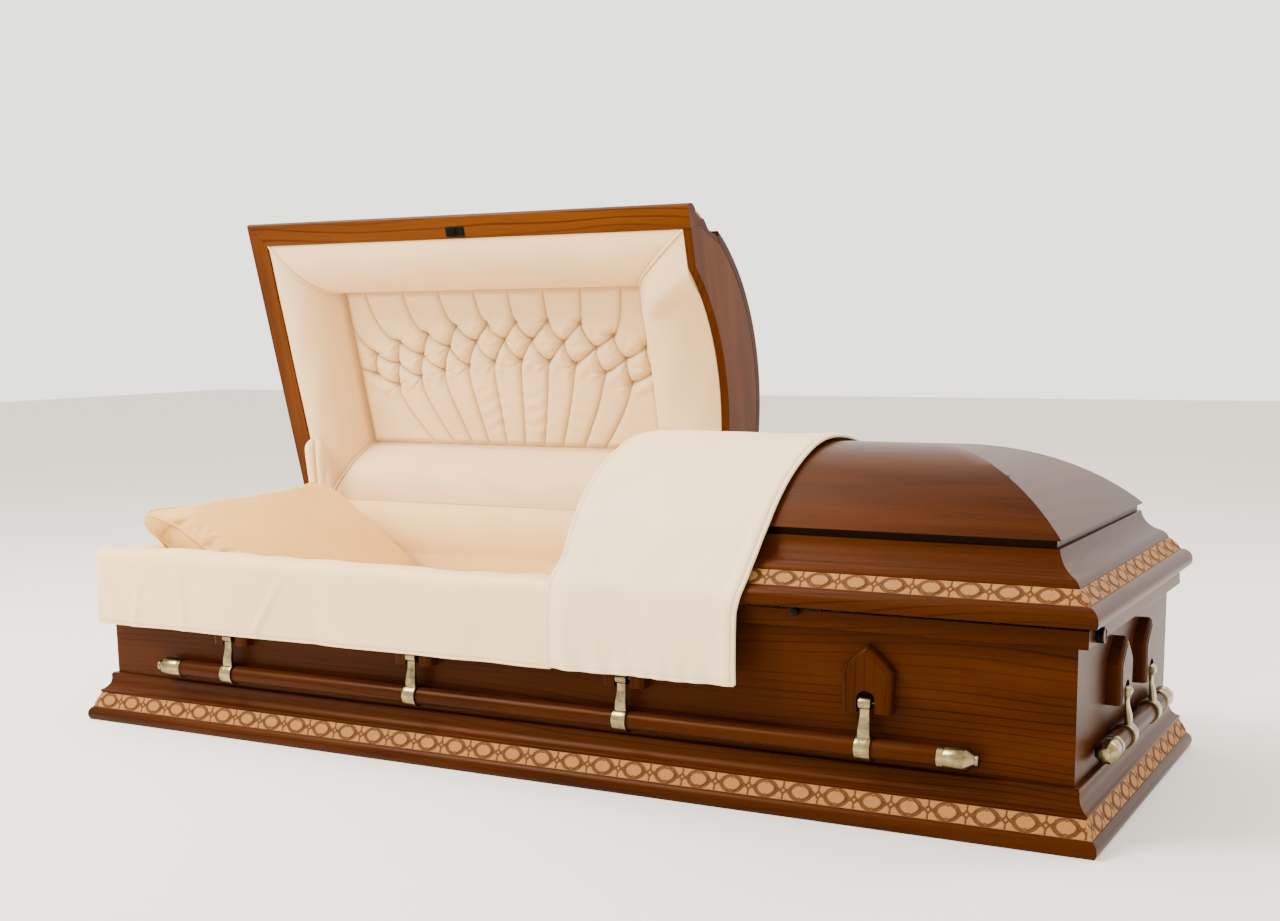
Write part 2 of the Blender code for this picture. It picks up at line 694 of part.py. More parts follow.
def build_apron():
    """Turned out over the front rail: it hangs in front of the ears and is tucked in behind the rail."""
    hang_y = -(HALF_WIDTH - PANEL_INSET) - APRON_OUT - APRON_THICKNESS
    tuck_y = -(HALF_WIDTH - PANEL_INNER_INSET - LINING_THICKNESS) + APRON_THICKNESS + 0.001
    shoulder = 0.024
    path = [(hang_y, HEM_Z), (hang_y, APRON_TOP_Z - shoulder)]
    for step in range(1, 4):
        angle = math.radians(90 * step / 3)
        out = (hang_y + shoulder * (1 - math.cos(angle)), APRON_TOP_Z - shoulder * (1 - math.sin(angle)))
        path.append(out)
    outside = len(path)
    path += [(tuck_y - 0.016, APRON_TOP_Z), (tuck_y - 0.004, APRON_TOP_Z - 0.005)]
    path += [(tuck_y, APRON_TOP_Z - 0.016), (tuck_y, APRON_TOP_Z - APRON_TUCK)]
    low_x = -(HALF_LENGTH - PANEL_INSET) - APRON_HEAD_OVERHANG
    tuck_x = -(HALF_LENGTH - PANEL_INNER_INSET - LINING_THICKNESS) + 0.002
    high_x = HEAD_LID_END_X - APRON_END_GAP
    return swept_cloth("apron", path, APRON_THICKNESS, low_x, high_x, outside, tuck_x)


def build_lining():
    """The cloth wall lining, the mattress on the bottom board and the pillow that leans on the head end."""
    half_x = HALF_LENGTH - PANEL_INNER_INSET - JOIN_GAP
    half_y = HALF_WIDTH - PANEL_INNER_INSET - JOIN_GAP
    low_z = BOARD_THICKNESS + JOIN_GAP
    high_z = RAIL_TOP_Z - JOIN_GAP
    lining = box("wall_lining", (-half_x, -half_y, low_z), (half_x, half_y, high_z), CLOTH)
    inner_x, inner_y = half_x - LINING_THICKNESS, half_y - LINING_THICKNESS
    hole = box("lining_hole", (-inner_x, -inner_y, 0), (inner_x, inner_y, high_z * 2), CLOTH)
    boolean(lining, helper("wall_lining_hole", baked(hole)), "DIFFERENCE")
    bed_x, bed_y = inner_x - MATTRESS_CLEARANCE, inner_y - MATTRESS_CLEARANCE
    box("mattress", (-bed_x, -bed_y, low_z), (bed_x, bed_y, MATTRESS_TOP_Z), CLOTH, MATTRESS_ROUND)

    def build(bm):
        bmesh.ops.create_cube(bm, size=2)
        bmesh.ops.subdivide_edges(bm, edges=bm.edges, cuts=5, use_grid_fill=True)
        for vertex in bm.verts:
            x, y, z = vertex.co
            full = math.sqrt(max(0, 1 - x**4) * max(0, 1 - y**4))
            thick = 0.16 + 0.84 * full
            vertex.co = (x * PILLOW_LENGTH / 2, y * PILLOW_WIDTH / 2, z * thick * PILLOW_THICKNESS / 2)

    slope = math.radians(PILLOW_SLOPE_DEG)
    mesh = mesh_from("pillow", build)
    reach = PILLOW_LENGTH / 2 * math.cos(slope)
    foot_drop = PILLOW_LENGTH / 2 * math.sin(slope) + PILLOW_THICKNESS / 2 * 0.55
    pillow = add_object("pillow", mesh, CLOTH)
    pillow.rotation_euler = (0, slope, 0)
    pillow.location = (-inner_x + PILLOW_HEAD_CLEARANCE + reach, 0, MATTRESS_TOP_Z + PILLOW_RISE + foot_drop)


# Ears and swing bars


def ear_outline():
    """A shield with a pointed brow, tapered sides and an arched mouth, about the pin."""
    low, shoulder, apex = EAR_BOTTOM_Z - PIN_Z, EAR_SHOULDER_Z - PIN_Z, EAR_APEX_Z - PIN_Z
    spring, rise = ARCH_SPRING_Z - PIN_Z, ARCH_TOP_Z - ARCH_SPRING_Z
    half = ARCH_WIDTH / 2
    arch = []
    for step in range(7):
        angle = math.pi * step / 6
        arch.append((-half * math.cos(angle), spring + rise * math.sin(angle)))
    right = arc_between((EAR_SHOULDER_WIDTH / 2, shoulder), (0, apex), -EAR_BROW_BULGE, 3)
    left = [(-x, z) for x, z in reversed(right[:-1])]
    foot = EAR_BOTTOM_WIDTH / 2
    return [(-foot, low), (-half, low)] + arch + [(half, low), (foot, low)] + right + left


def ear_mesh():
    """The outline cut from a thick board, its front edge rounded but for the foot, and bored for the pin."""
    outline = ear_outline()
    back = PIN_DEPTH - JOIN_GAP
    frame = Matrix.Translation((0, back - EAR_THICKNESS, 0))
    mesh = outline_mesh("ear", outline, EAR_THICKNESS, frame)
    bm = bmesh.new()
    bm.from_mesh(mesh)
    front = back - EAR_THICKNESS
    foot_z = EAR_BOTTOM_Z - PIN_Z
    arch_half = ARCH_WIDTH / 2

    def rounded(edge):
        if any(abs(v.co.y - front) > 1e-6 for v in edge.verts):
            return False
        if all(abs(v.co.z - foot_z) < 1e-6 for v in edge.verts):
            return False
        return not all(abs(v.co.x) <= arch_half + 1e-6 and v.co.z < ARCH_TOP_Z - PIN_Z + 1e-6 for v in edge.verts)

    edges = [edge for edge in bm.edges if rounded(edge)]
    bmesh.ops.bevel(bm, geom=edges, offset=EAR_EDGE, segments=2, profile=0.6, affect="EDGES")
    bm.to_mesh(mesh)
    bm.free()
    ear = add_object("ear_blank", mesh, WOOD)
    reach = ARCH_WIDTH / 2 + PIN_REACH + JOIN_GAP
    bore = mesh_from(
        "ear_bore", lambda bm: cylinder_x(bm, PIN_RADIUS + JOIN_GAP, reach, (0, 0, 0), 8)
    )
    cutter = helper("ear_bore", bore)
    boolean(ear, cutter, "DIFFERENCE")
    return baked(ear)


def arm_mesh(hollow, sides):
    """A brass strap about the pin: knuckle, waisted neck, and the clasp that holds the bar."""
    knuckle = (0, PIN_DEPTH - KNUCKLE_DEPTH, 0)
    clasp = (0, PIN_DEPTH - BAR_DEPTH - CLASP_FORWARD, BAR_Z - PIN_Z)
    arm = add_object(
        "arm_blank",
        mesh_from("arm", lambda bm: cylinder_x(bm, KNUCKLE_RADIUS, KNUCKLE_WIDTH / 2, knuckle, sides)),
        BRASS,
    )
    clasp_mesh = mesh_from(
        "arm_clasp", lambda bm: cylinder_x(bm, CLASP_RADIUS, CLASP_WIDTH / 2, clasp, sides + 4)
    )
    pin_reach = ARCH_WIDTH / 2 + PIN_REACH
    pin_mesh = mesh_from("arm_pin", lambda bm: cylinder_x(bm, PIN_RADIUS, pin_reach, (0, 0, 0), 8))
    low = BAR_Z - PIN_Z + BAR_RADIUS
    near, far = PIN_DEPTH - NECK_DEPTH, PIN_DEPTH - NECK_DEPTH - NECK_THICKNESS

    def build_neck(bm):
        bmesh.ops.create_cube(bm, size=1)
        for vertex in bm.verts:
            top = vertex.co.z > 0
            width = NECK_TOP_WIDTH if top else NECK_LOW_WIDTH
            depth = near if vertex.co.y > 0 else far
            vertex.co = (vertex.co.x * width, depth, -KNUCKLE_RADIUS / 3 if top else low)

    boolean(arm, helper("arm_clasp", clasp_mesh), "UNION")
    boolean(arm, helper("arm_neck", mesh_from("arm_neck", build_neck)), "UNION")
    boolean(arm, helper("arm_pin", pin_mesh), "UNION")
    if hollow:
        bar_centre = (0, PIN_DEPTH - BAR_DEPTH, BAR_Z - PIN_Z)
        bar_mesh = mesh_from(
            "arm_bore", lambda bm: cylinder_x(bm, BAR_RADIUS + JOIN_GAP, CLASP_WIDTH, bar_centre, sides + 4)
        )
        boolean(arm, helper("arm_bore", bar_mesh), "DIFFERENCE")
    return baked(arm)


def bar_mesh(length, sides):
    """A round bar with a turned cap at each end: rim, waist, cone, neck and button."""
    tip = length / 2
    start = tip - CAP_LENGTH
    half = [
        (start, BAR_RADIUS),
        (start, CAP_RIM_RADIUS),
        (start + CAP_RIM, CAP_RIM_RADIUS),
        (start + CAP_RIM, CAP_WAIST_RADIUS),
        (start + CAP_BODY, CAP_RIM_RADIUS),
        (start + CAP_CONE, CAP_NECK_RADIUS),
        (tip - 0.0045, CAP_BUTTON_RADIUS),
        (tip - 0.0012, CAP_BUTTON_RADIUS),
        (tip, CAP_BUTTON_RADIUS - 0.0020),
        (tip, 0),
    ]
    profile = [(-x, r) for x, r in reversed(half)] + half
    mesh = bpy.data.meshes.new("bar")
    points = [(x, 0, r) for x, r in profile]
    mesh.from_pydata(points, [(i, i + 1) for i in range(len(points) - 1)], [])
    bar = add_object("bar_blank", mesh, WOOD)
    screw = bar.modifiers.new("turned", "SCREW")
    screw.axis = "X"
    screw.steps = screw.render_steps = sides
    screw.use_merge_vertices = True
    screw.merge_threshold = 0.00005
    made = baked(bar)
    made.transform(Matrix.Translation((0, PIN_DEPTH - BAR_DEPTH, BAR_Z - PIN_Z)))
    return made


def pin_line(side):
    """An empty on the hinge line of a side's swing bar, its -Y facing out of that side."""
    direction, outwards, half, _ = SIDES[side]
    empty = bpy.data.objects.new(side + "_bar_hinge", None)
    CASKET.objects.link(empty)
    empty.location = outwards * (half - PANEL_INSET + PIN_DEPTH) + Vector((0, 0, PIN_Z))
    empty.rotation_euler = (0, 0, math.atan2(direction.y, direction.x))
    return empty


def spread(count, spacing):
    return [(index - (count - 1) / 2) * spacing for index in range(count)]


def joined(name, mesh, others, finish):
    """One object from a mesh and copies of another laid along X, united."""
    made = add_object(name, mesh, finish)
    for index, (other, offset) in enumerate(others):
        copy = helper(f"{name}_arm_{index + 1}", other)
        copy.location.x = offset
        boolean(made, copy, "UNION")
    bpy.context.view_layer.update()
    return baked(made)


def build_handles():
    ear = ear_mesh()
    arm = arm_mesh(hollow=True, sides=12)
    plain_arm = arm_mesh(hollow=False, sides=8)
    for side in SIDES:
        empty = pin_line(side)
        long = side in ("front", "back")
        places = spread(LONG_EARS, EAR_SPACING_LONG) if long else spread(END_EARS, EAR_SPACING_END)
        seen = side in ("front", "foot")
        bar = bar_mesh(BAR_LONG if long else BAR_END, 16 if seen else 12)
        pieces = []
        for number, offset in enumerate(places, 1):
            shield = add_object(f"ear_{side}_{number}", ear, WOOD)
            pieces.append((shield, offset))
            if seen:
                pieces.append((add_object(f"{side}_arm_{number}", arm, BRASS), offset))
        if seen:
            pieces.append((add_object(side + "_bar", bar, WOOD), 0))
        else:
            whole = joined(side + "_handle_joined", bar, [(plain_arm, offset) for offset in places], WOOD)
            pieces.append((add_object(side + "_handle", whole, WOOD), 0))
        for piece, offset in pieces:
            piece.parent = empty
            piece.location.x = offset


def hinge_lid(name, pieces, angle_deg):
    """Parents the closed lid's pieces to an empty on the hinge line, turned back by an angle."""
    empty = bpy.data.objects.new(name, None)
    CASKET.objects.link(empty)
    empty.location = (0, HINGE_Y, HINGE_Z)
    for piece in pieces:
        piece.parent = empty
        piece.matrix_parent_inverse = Matrix.Translation((0, -HINGE_Y, -HINGE_Z))
    empty.rotation_euler = (-math.radians(angle_deg), 0, 0)


build_box()
build_lock_plug()
build_lining()
build_apron()
head_lid = build_lid("head_lid", HEAD_LID_END_X, "head", carved=("front",)) + build_rolls()
foot_lid = build_lid("foot_lid", FOOT_LID_START_X, "foot", carved=("front", "foot"))
foot_lid += [build_foot_lining(), build_throw()]
hinge_lid("head_lid_hinge", head_lid, LID_OPEN_DEG)
hinge_lid("foot_lid_hinge", foot_lid, 0)
build_handles()
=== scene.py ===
"""The dressed funeral casket: finished wood, carved bands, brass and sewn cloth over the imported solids."""

import math

import bmesh
import bpy
import numpy as np
from mathutils import Matrix, Vector


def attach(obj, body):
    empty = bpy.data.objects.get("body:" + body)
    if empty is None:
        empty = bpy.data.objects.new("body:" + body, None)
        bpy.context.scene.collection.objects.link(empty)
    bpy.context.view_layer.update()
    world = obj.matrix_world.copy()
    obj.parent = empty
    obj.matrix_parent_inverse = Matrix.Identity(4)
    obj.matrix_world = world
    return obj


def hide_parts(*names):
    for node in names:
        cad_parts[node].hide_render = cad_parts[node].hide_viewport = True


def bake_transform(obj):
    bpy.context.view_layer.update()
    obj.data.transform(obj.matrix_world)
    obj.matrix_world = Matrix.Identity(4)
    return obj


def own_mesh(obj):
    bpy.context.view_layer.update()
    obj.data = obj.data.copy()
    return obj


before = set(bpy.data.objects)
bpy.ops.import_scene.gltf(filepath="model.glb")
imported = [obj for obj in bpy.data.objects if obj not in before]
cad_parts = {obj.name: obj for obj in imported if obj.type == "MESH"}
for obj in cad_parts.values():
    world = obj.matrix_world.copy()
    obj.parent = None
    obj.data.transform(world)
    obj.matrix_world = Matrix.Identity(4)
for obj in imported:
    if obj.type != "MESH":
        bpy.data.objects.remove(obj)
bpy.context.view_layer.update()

# Driving sizes, the same as the solids', in metres
HALF_LENGTH = 1.050
HALF_WIDTH = 0.380
PANEL_INSET = 0.0476
INNER_INSET = 0.0676
RAIL_LOW, RAIL_HIGH = 0.3151, 0.3446
RAIL_INSET = 0.0278
BACK_RAIL_INSETS = (0.0300, 0.0385)
BASE_TOP = 0.0964
RIM_BOTTOM = 0.3515
RIM_INNER_INSET = 0.0588
CROWN_INSET, CROWN_EDGE_Z, CROWN_TOP = 0.0877, 0.4691, 0.5910
CROWN_THICKNESS = 0.018
HEAD_LID_END = 0.092
FOOT_LID_START = 0.096
RIB = 0.018
ARCH_HALF, ARCH_RISE = 0.245, 0.079
HINGE_Y, HINGE_Z = 0.3392, 0.3474
LID_OPEN = math.radians(75.6)
MITRE_GAP = 0.0002
BAND_PITCH = 0.0625
PIN_Z, PIN_OUT = 0.2000, 0.016
BAR_Z, BAR_OUT, BAR_RADIUS = 0.1270, 0.0215, 0.0165
BAR_HALF_LONG, BAR_HALF_END = 0.860, 0.240
EAR_PITCH_LONG, EAR_PITCH_END = 0.4470, 0.1880
MATTRESS_TOP = 0.158

CROWN_SPAN = HALF_WIDTH - CROWN_INSET
CROWN_RADIUS = (CROWN_SPAN**2 + (CROWN_TOP - CROWN_EDGE_Z) ** 2) / (2 * (CROWN_TOP - CROWN_EDGE_Z))
CROWN_CENTRE = CROWN_TOP - CROWN_RADIUS
CROWN_INNER_SPAN = math.sqrt((CROWN_RADIUS - CROWN_THICKNESS) ** 2 - (CROWN_EDGE_Z - CROWN_CENTRE) ** 2)

SIDES = {
    "front": (np.array((1.0, 0, 0)), np.array((0, -1.0, 0)), HALF_WIDTH, HALF_LENGTH),
    "foot": (np.array((0, 1.0, 0)), np.array((1.0, 0, 0)), HALF_LENGTH, HALF_WIDTH),
    "back": (np.array((-1.0, 0, 0)), np.array((0, 1.0, 0)), HALF_WIDTH, HALF_LENGTH),
    "head": (np.array((0, -1.0, 0)), np.array((-1.0, 0, 0)), HALF_LENGTH, HALF_WIDTH),
}


# Camera, floor and light

CAMERA_PLACE = (1.5923, -2.765, 0.804)
CAMERA_AZIMUTH, CAMERA_ELEVATION, CAMERA_ROLL = 28.0913, 9.3231, -0.6569
LENS_MM = 46.096
LENS_SHIFT = (-0.01819, 0.10319)


def camera():
    """Looks along the fitted azimuth and elevation, turned by a small roll about its own line of sight."""
    data = bpy.data.cameras.new("camera")
    data.lens, data.sensor_width = LENS_MM, 36
    data.shift_x, data.shift_y = LENS_SHIFT
    data.clip_start, data.clip_end = 0.05, 100
    made = bpy.data.objects.new("camera", data)
    bpy.context.scene.collection.objects.link(made)
    a, e = math.radians(CAMERA_AZIMUTH), math.radians(CAMERA_ELEVATION)
    sight = Vector((-math.sin(a) * math.cos(e), math.cos(a) * math.cos(e), -math.sin(e)))
    turn = sight.to_track_quat("-Z", "Y").to_matrix() @ Matrix.Rotation(math.radians(CAMERA_ROLL), 3, "Z")
    made.matrix_world = Matrix.Translation(CAMERA_PLACE) @ turn.to_4x4()
    bpy.context.scene.camera = made


def area_light(name, place, aim, size, power, colour):
    data = bpy.data.lights.new(name, "AREA")
    data.shape, data.size, data.energy, data.color = "SQUARE", size, power, colour
    made = bpy.data.objects.new(name, data)
    bpy.context.scene.collection.objects.link(made)
    made.location = place
    made.rotation_euler = (Vector(aim) - Vector(place)).to_track_quat("-Z", "Y").to_euler()


def studio():
    """A pale floor and a room bright behind the casket and warm overhead.

    Soft lights stand to the left, at the foot end and above.
    """
    world = bpy.data.worlds.new("studio")
    bpy.context.scene.world = world
    world.use_nodes = True
    sky = world.node_tree.nodes["Background"]
    nodes, links = world.node_tree.nodes, world.node_tree.links
    towards = nodes.new("ShaderNodeVectorMath")
    towards.operation = "DOT_PRODUCT"
    towards.inputs[1].default_value = (-0.47, 0.88, 0.12)
    way = nodes.new("ShaderNodeTexCoord").outputs["Generated"]
    links.new(way, towards.inputs[0])
    spread = nodes.new("ShaderNodeMapRange")
    spread.inputs["From Min"].default_value, spread.inputs["From Max"].default_value = 0.72, 0.92
    spread.inputs["To Min"].default_value, spread.inputs["To Max"].default_value = 1.90, 2.5
    links.new(towards.outputs["Value"], spread.inputs["Value"])
    links.new(spread.outputs["Result"], sky.inputs["Strength"])
    height, rise = nodes.new("ShaderNodeSeparateXYZ"), nodes.new("ShaderNodeMapRange")
    rise.inputs["From Min"].default_value, rise.inputs["From Max"].default_value = 0.18, 0.45
    warm = nodes.new("ShaderNodeMix")
    warm.data_type = "RGBA"
    warm.inputs[6].default_value, warm.inputs[7].default_value = (1.0, 0.975, 0.940, 1), (1.0, 0.88, 0.74, 1)
    links.new(way, height.inputs[0])
    links.new(height.outputs["Z"], rise.inputs["Value"])
    links.new(rise.outputs["Result"], warm.inputs[0])
    links.new(warm.outputs[2], sky.inputs["Color"])
    area_light("key", (-2.2, -2.2, 3.5), (-0.1, 0, 0.3), 1.8, 330, (1.0, 0.95, 0.88))
    area_light("overhead", (-1.7, 0, 3.3), (-0.1, 0, 0.3), 2.2, 100, (1.0, 0.92, 0.82))
    area_light("foot", (2.6, 2.2, 2.6), (0.8, 0, 0.4), 1.6, 80, (1.0, 0.92, 0.82))
    side = 14.0
    mesh = bpy.data.meshes.new("floor")
    corners = [(-side, -side, 0), (side, -side, 0), (side, side, 0), (-side, side, 0)]
    mesh.from_pydata(corners, [], [(0, 1, 2, 3)])
    floor = bpy.data.objects.new("floor", mesh)
    bpy.context.scene.collection.objects.link(floor)
    paint = bpy.data.materials.new("pale floor")
    paint.use_nodes = True
    shader = paint.node_tree.nodes["Principled BSDF"]
    shader.inputs["Base Color"].default_value = (0.86, 0.86, 0.86, 1)
    shader.inputs["Roughness"].default_value = 0.9
    mesh.materials.append(paint)


# Finishes


WOOD_DARK = (0.0230, 0.0050, 0.0006)
WOOD_BODY = (0.0400, 0.0090, 0.0009)
WOOD_LIGHT = (0.0570, 0.0138, 0.0014)


class Finish:
    """A material whose nodes are added one by one and linked by name."""

    def __init__(self, name, **fixed):
        self.material = bpy.data.materials.new(name)
        self.material.use_nodes = True
        self.tree = self.material.node_tree
        self.shader = self.tree.nodes["Principled BSDF"]
        for socket, value in fixed.items():
            self.shader.inputs[socket.replace("_", " ")].default_value = value

    def node(self, kind, settings=None, **inputs):
        made = self.tree.nodes.new(kind)
        for key, value in (settings or {}).items():
            setattr(made, key, value)
        for key, value in inputs.items():
            socket = made.inputs[int(key[1:]) if key[0] == "i" and key[1:].isdigit() else key.replace("_", " ")]
            if isinstance(value, bpy.types.NodeSocket):
                self.tree.links.new(value, socket)
            else:
                socket.default_value = value
        return made

    def link(self, output, socket):
        self.tree.links.new(output, self.shader.inputs[socket])

    def ramp(self, factor, stops):
        made = self.node("ShaderNodeValToRGB", Fac=factor)
        marks = made.color_ramp.elements
        for index, (place, colour) in enumerate(stops):
            mark = marks[index] if index < 2 else marks.new(place)
            mark.position = place
            mark.color = (*colour, 1)
        return made.outputs["Color"]

    def mix(self, factor, first, second, way="MIX"):
        made = self.node("ShaderNodeMix", {"data_type": "RGBA", "blend_type": way}, i0=factor, i6=first, i7=second)
        return made.outputs[2]

    def maths(self, way, first, second=0.0, third=0.0):
        return self.node("ShaderNodeMath", {"operation": way}, i0=first, i1=second, i2=third).outputs[0]

    def noise(self, vector, scale, detail=4.0, roughness=0.55, distortion=0.0):
        made = self.node("ShaderNodeTexNoise", Vector=vector, Scale=scale, Detail=detail)
        made.inputs["Roughness"].default_value = roughness
        made.inputs["Distortion"].default_value = distortion
        return made.outputs["Fac"]

    def mapped(self, vector, turn=(0, 0, 0), scale=(1, 1, 1), move=(0, 0, 0)):
        made = self.node("ShaderNodeMapping", Vector=vector)
        made.inputs["Rotation"].default_value = turn
        made.inputs["Scale"].default_value = scale
        made.inputs["Location"].default_value = move
        return made.outputs["Vector"]

    def bump(self, height, strength, distance, under=None):
        made = self.node("ShaderNodeBump", Height=height, Strength=strength, Distance=distance)
        if under:
            self.tree.links.new(under, made.inputs["Normal"])
        return made.outputs["Normal"]


def wood(name, turn, tone=1.0):
    """Satin cherry stain: an even warm ground, fine dark growth lines that wander, and pores. Painted shadow: a point
    attribute takes the colour almost to black in shadow lines.

    turn is the rotation that lays the pattern's grain along the piece.
    """
    made = Finish(name, IOR=1.20, Specular_Tint=(0.75, 0.36, 0.16, 1), Roughness=0.33)
    place = made.node("ShaderNodeTexCoord").outputs["Object"]
    along = made.mapped(place, turn)
    figure = made.noise(made.mapped(along, scale=(0.7, 7.0, 7.0)), 2.0, 4.0, 0.5, 0.6)
    across = made.node("ShaderNodeVectorMath", {"operation": "DOT_PRODUCT"}, i0=along, i1=(0.06, 480.0, 480.0))
    level = across.outputs["Value"]
    wander = made.noise(made.mapped(along, scale=(0.9, 4.6, 4.6)), 1.0, 2.0, 0.5)
    growth = made.maths("SINE", made.maths("MULTIPLY_ADD", wander, 58.0, level))
    fade = made.noise(made.mapped(along, scale=(1.2, 22.0, 22.0)), 1.0, 3.0, 0.5)
    pores = made.noise(made.mapped(along, scale=(14.0, 700.0, 700.0)), 1.0, 3.0, 0.6)
    ground = made.ramp(
        figure,
        [
            (0.28, tuple(tone * c for c in WOOD_DARK)),
            (0.50, tuple(tone * c for c in WOOD_BODY)),
            (0.76, tuple(tone * c for c in WOOD_LIGHT)),
        ],
    )
    lines = made.ramp(made.maths("ADD", growth, 1.0), [(0.02, (0.26, 0.20, 0.16)), (0.30, (1.0, 1.0, 1.0))])
    strength = made.node("ShaderNodeMapRange", Value=fade)
    strength.inputs["From Min"].default_value, strength.inputs["From Max"].default_value = 0.38, 0.62
    strength.inputs["To Min"].default_value, strength.inputs["To Max"].default_value = 0.05, 0.75
    stained = made.mix(strength.outputs["Result"], ground, lines, "MULTIPLY")
    open_pores = made.ramp(pores, [(0.30, (0.50, 0.45, 0.40)), (0.46, (1.0, 1.0, 1.0))])
    # Painted shadow: where the attribute read next is set, the colour goes almost to black, standing for the shadow in
    # the recess under the crown's edge and under the rim.
    painted_shadow_line = made.node("ShaderNodeAttribute", {"attribute_name": "painted_shadow_line"}).outputs["Fac"]
    surface = made.mix(0.50, stained, open_pores, "MULTIPLY")
    pale = made.node("ShaderNodeAttribute", {"attribute_name": "pale"}).outputs["Fac"]
    lighter = made.mix(1.0, surface, (2.4, 2.9, 3.4, 1), "MULTIPLY")
    made.link(made.mix(painted_shadow_line, made.mix(pale, surface, lighter), (0.0020, 0.0006, 0.0002, 1)), "Base Color")
    made.link(made.bump(pores, 0.10, 0.0006), "Normal")
    return made.material


def carved_wood():
    """The pale carved strip: tan field, brown cut lines from the carving attribute, soft fibres."""
    made = Finish("carved band", IOR=1.30, Specular_Tint=(0.9, 0.6, 0.4, 1))
    place = made.node("ShaderNodeTexCoord").outputs["Object"]
    cut = made.node("ShaderNodeAttribute", {"attribute_name": "cut"}).outputs["Fac"]
    fibres = made.noise(made.mapped(place, scale=(30.0, 30.0, 260.0)), 3.0, 5.0, 0.6)
    field = made.ramp(fibres, [(0.25, (0.22, 0.098, 0.027)), (0.75, (0.33, 0.158, 0.048))])
    stain = made.ramp(fibres, [(0.3, (0.052, 0.018, 0.0050)), (0.8, (0.095, 0.034, 0.0100))])
    made.link(made.mix(cut, field, stain), "Base Color")
    made.shader.inputs["Roughness"].default_value = 0.62
    made.link(made.bump(fibres, 0.25, 0.0008), "Normal")
    return made.material


def brass():
    """Antique brass: satin metal with cloudy darker patches and fine scratches."""
    made = Finish("antique brass", Metallic=1.0)
    place = made.node("ShaderNodeTexCoord").outputs["Object"]
    clouds = made.noise(place, 42.0, 5.0, 0.65)
    scratches = made.noise(made.mapped(place, scale=(900.0, 120.0, 120.0)), 1.0, 3.0, 0.6)
    tint = made.ramp(clouds, [(0.30, (0.105, 0.080, 0.036)), (0.62, (0.320, 0.255, 0.128))])
    made.link(tint, "Base Color")
    rough = made.node("ShaderNodeMapRange", Value=clouds)
    rough.inputs["To Min"].default_value = 0.30
    rough.inputs["To Max"].default_value = 0.15
    made.link(rough.outputs["Result"], "Roughness")
    made.link(made.bump(scratches, 0.12, 0.0004), "Normal")
    return made.material


def dark_metal():
    made = Finish("blackened steel", Metallic=1.0)
    place = made.node("ShaderNodeTexCoord").outputs["Object"]
    clouds = made.noise(place, 60.0, 4.0, 0.6)
    made.link(made.ramp(clouds, [(0.3, (0.003, 0.003, 0.003)), (0.8, (0.012, 0.012, 0.011))]), "Base Color")
    made.shader.inputs["Roughness"].default_value = 0.45
    made.link(made.bump(clouds, 0.2, 0.0005), "Normal")
    return made.material


def crepe(name, colour, rib=430.0, sheen=0.28):
    """Ribbed satin crepe: fine ribs across the cloth's own UV in metres, cloudy wrinkles and a soft sheen, with
    painted shade along creases and seams.
    """
    made = Finish(name, Sheen_Weight=sheen, Sheen_Roughness=0.45, Roughness=0.56, Specular_IOR_Level=0.30)
    made.shader.inputs["Sheen Tint"].default_value = (1.0, 0.88, 0.70, 1)
    cloth = made.node("ShaderNodeTexCoord").outputs["UV"]
    place = made.node("ShaderNodeTexCoord").outputs["Object"]
    threads = made.noise(made.mapped(cloth, scale=(60.0, rib, 1.0)), 1.0, 2.0, 0.5)
    ribs = made.node("ShaderNodeTexWave", {"bands_direction": "Y"}, Vector=cloth, Scale=rib / 6.2832)
    ribs.inputs["Distortion"].default_value = 0.7
    weave = made.maths("ADD", threads, ribs.outputs["Fac"])
    clouds = made.noise(place, 9.0, 4.0, 0.55)
    crumple = made.noise(place, 34.0, 3.0, 0.5, 0.4)
    low = tuple(0.90 * c for c in colour)
    # Painted shade: the attribute read here mixes the colour towards a darker shade colour, standing for shade in sewn
    # creases, button dips, roll mitres and seam lines.
    crease = made.node("ShaderNodeAttribute", {"attribute_name": "crease"}).outputs["Fac"]
    shade = (0.42 * colour[0], 0.36 * colour[1], 0.30 * colour[2], 1)
    made.link(made.mix(crease, made.ramp(clouds, [(0.25, low), (0.75, colour)]), shade), "Base Color")
    fine = made.bump(weave, 0.16, 0.0006)
    made.link(made.bump(crumple, 0.10, 0.004, fine), "Normal")
    return made.material


GRAIN_X = (0, 0, 0)
GRAIN_Y = (0, 0, math.radians(90))
GRAIN_Z = (0, math.radians(90), 0)
GRAIN_OPEN = (LID_OPEN, 0, math.radians(90))

camera()
studio()
WOOD_X = wood("cherry stain, grain along", GRAIN_X)
WOOD_Y = wood("cherry stain, grain across", GRAIN_Y)
WOOD_Z = wood("cherry stain, grain upright", GRAIN_Z, 0.92)
WOOD_OPEN = wood("cherry stain, open lid end", GRAIN_OPEN)
CARVED = carved_wood()
BRASS = brass()
STEEL = dark_metal()
CREAM = crepe("cream crepe", (0.94, 0.680, 0.355))
CHAMPAGNE = crepe("champagne crepe", (0.93, 0.735, 0.435))
PILLOW_CLOTH = crepe("pillow crepe", (0.80, 0.455, 0.110))
INNER_CLOTH = crepe("inside cloth", (0.92, 0.620, 0.250))


# Surfaces


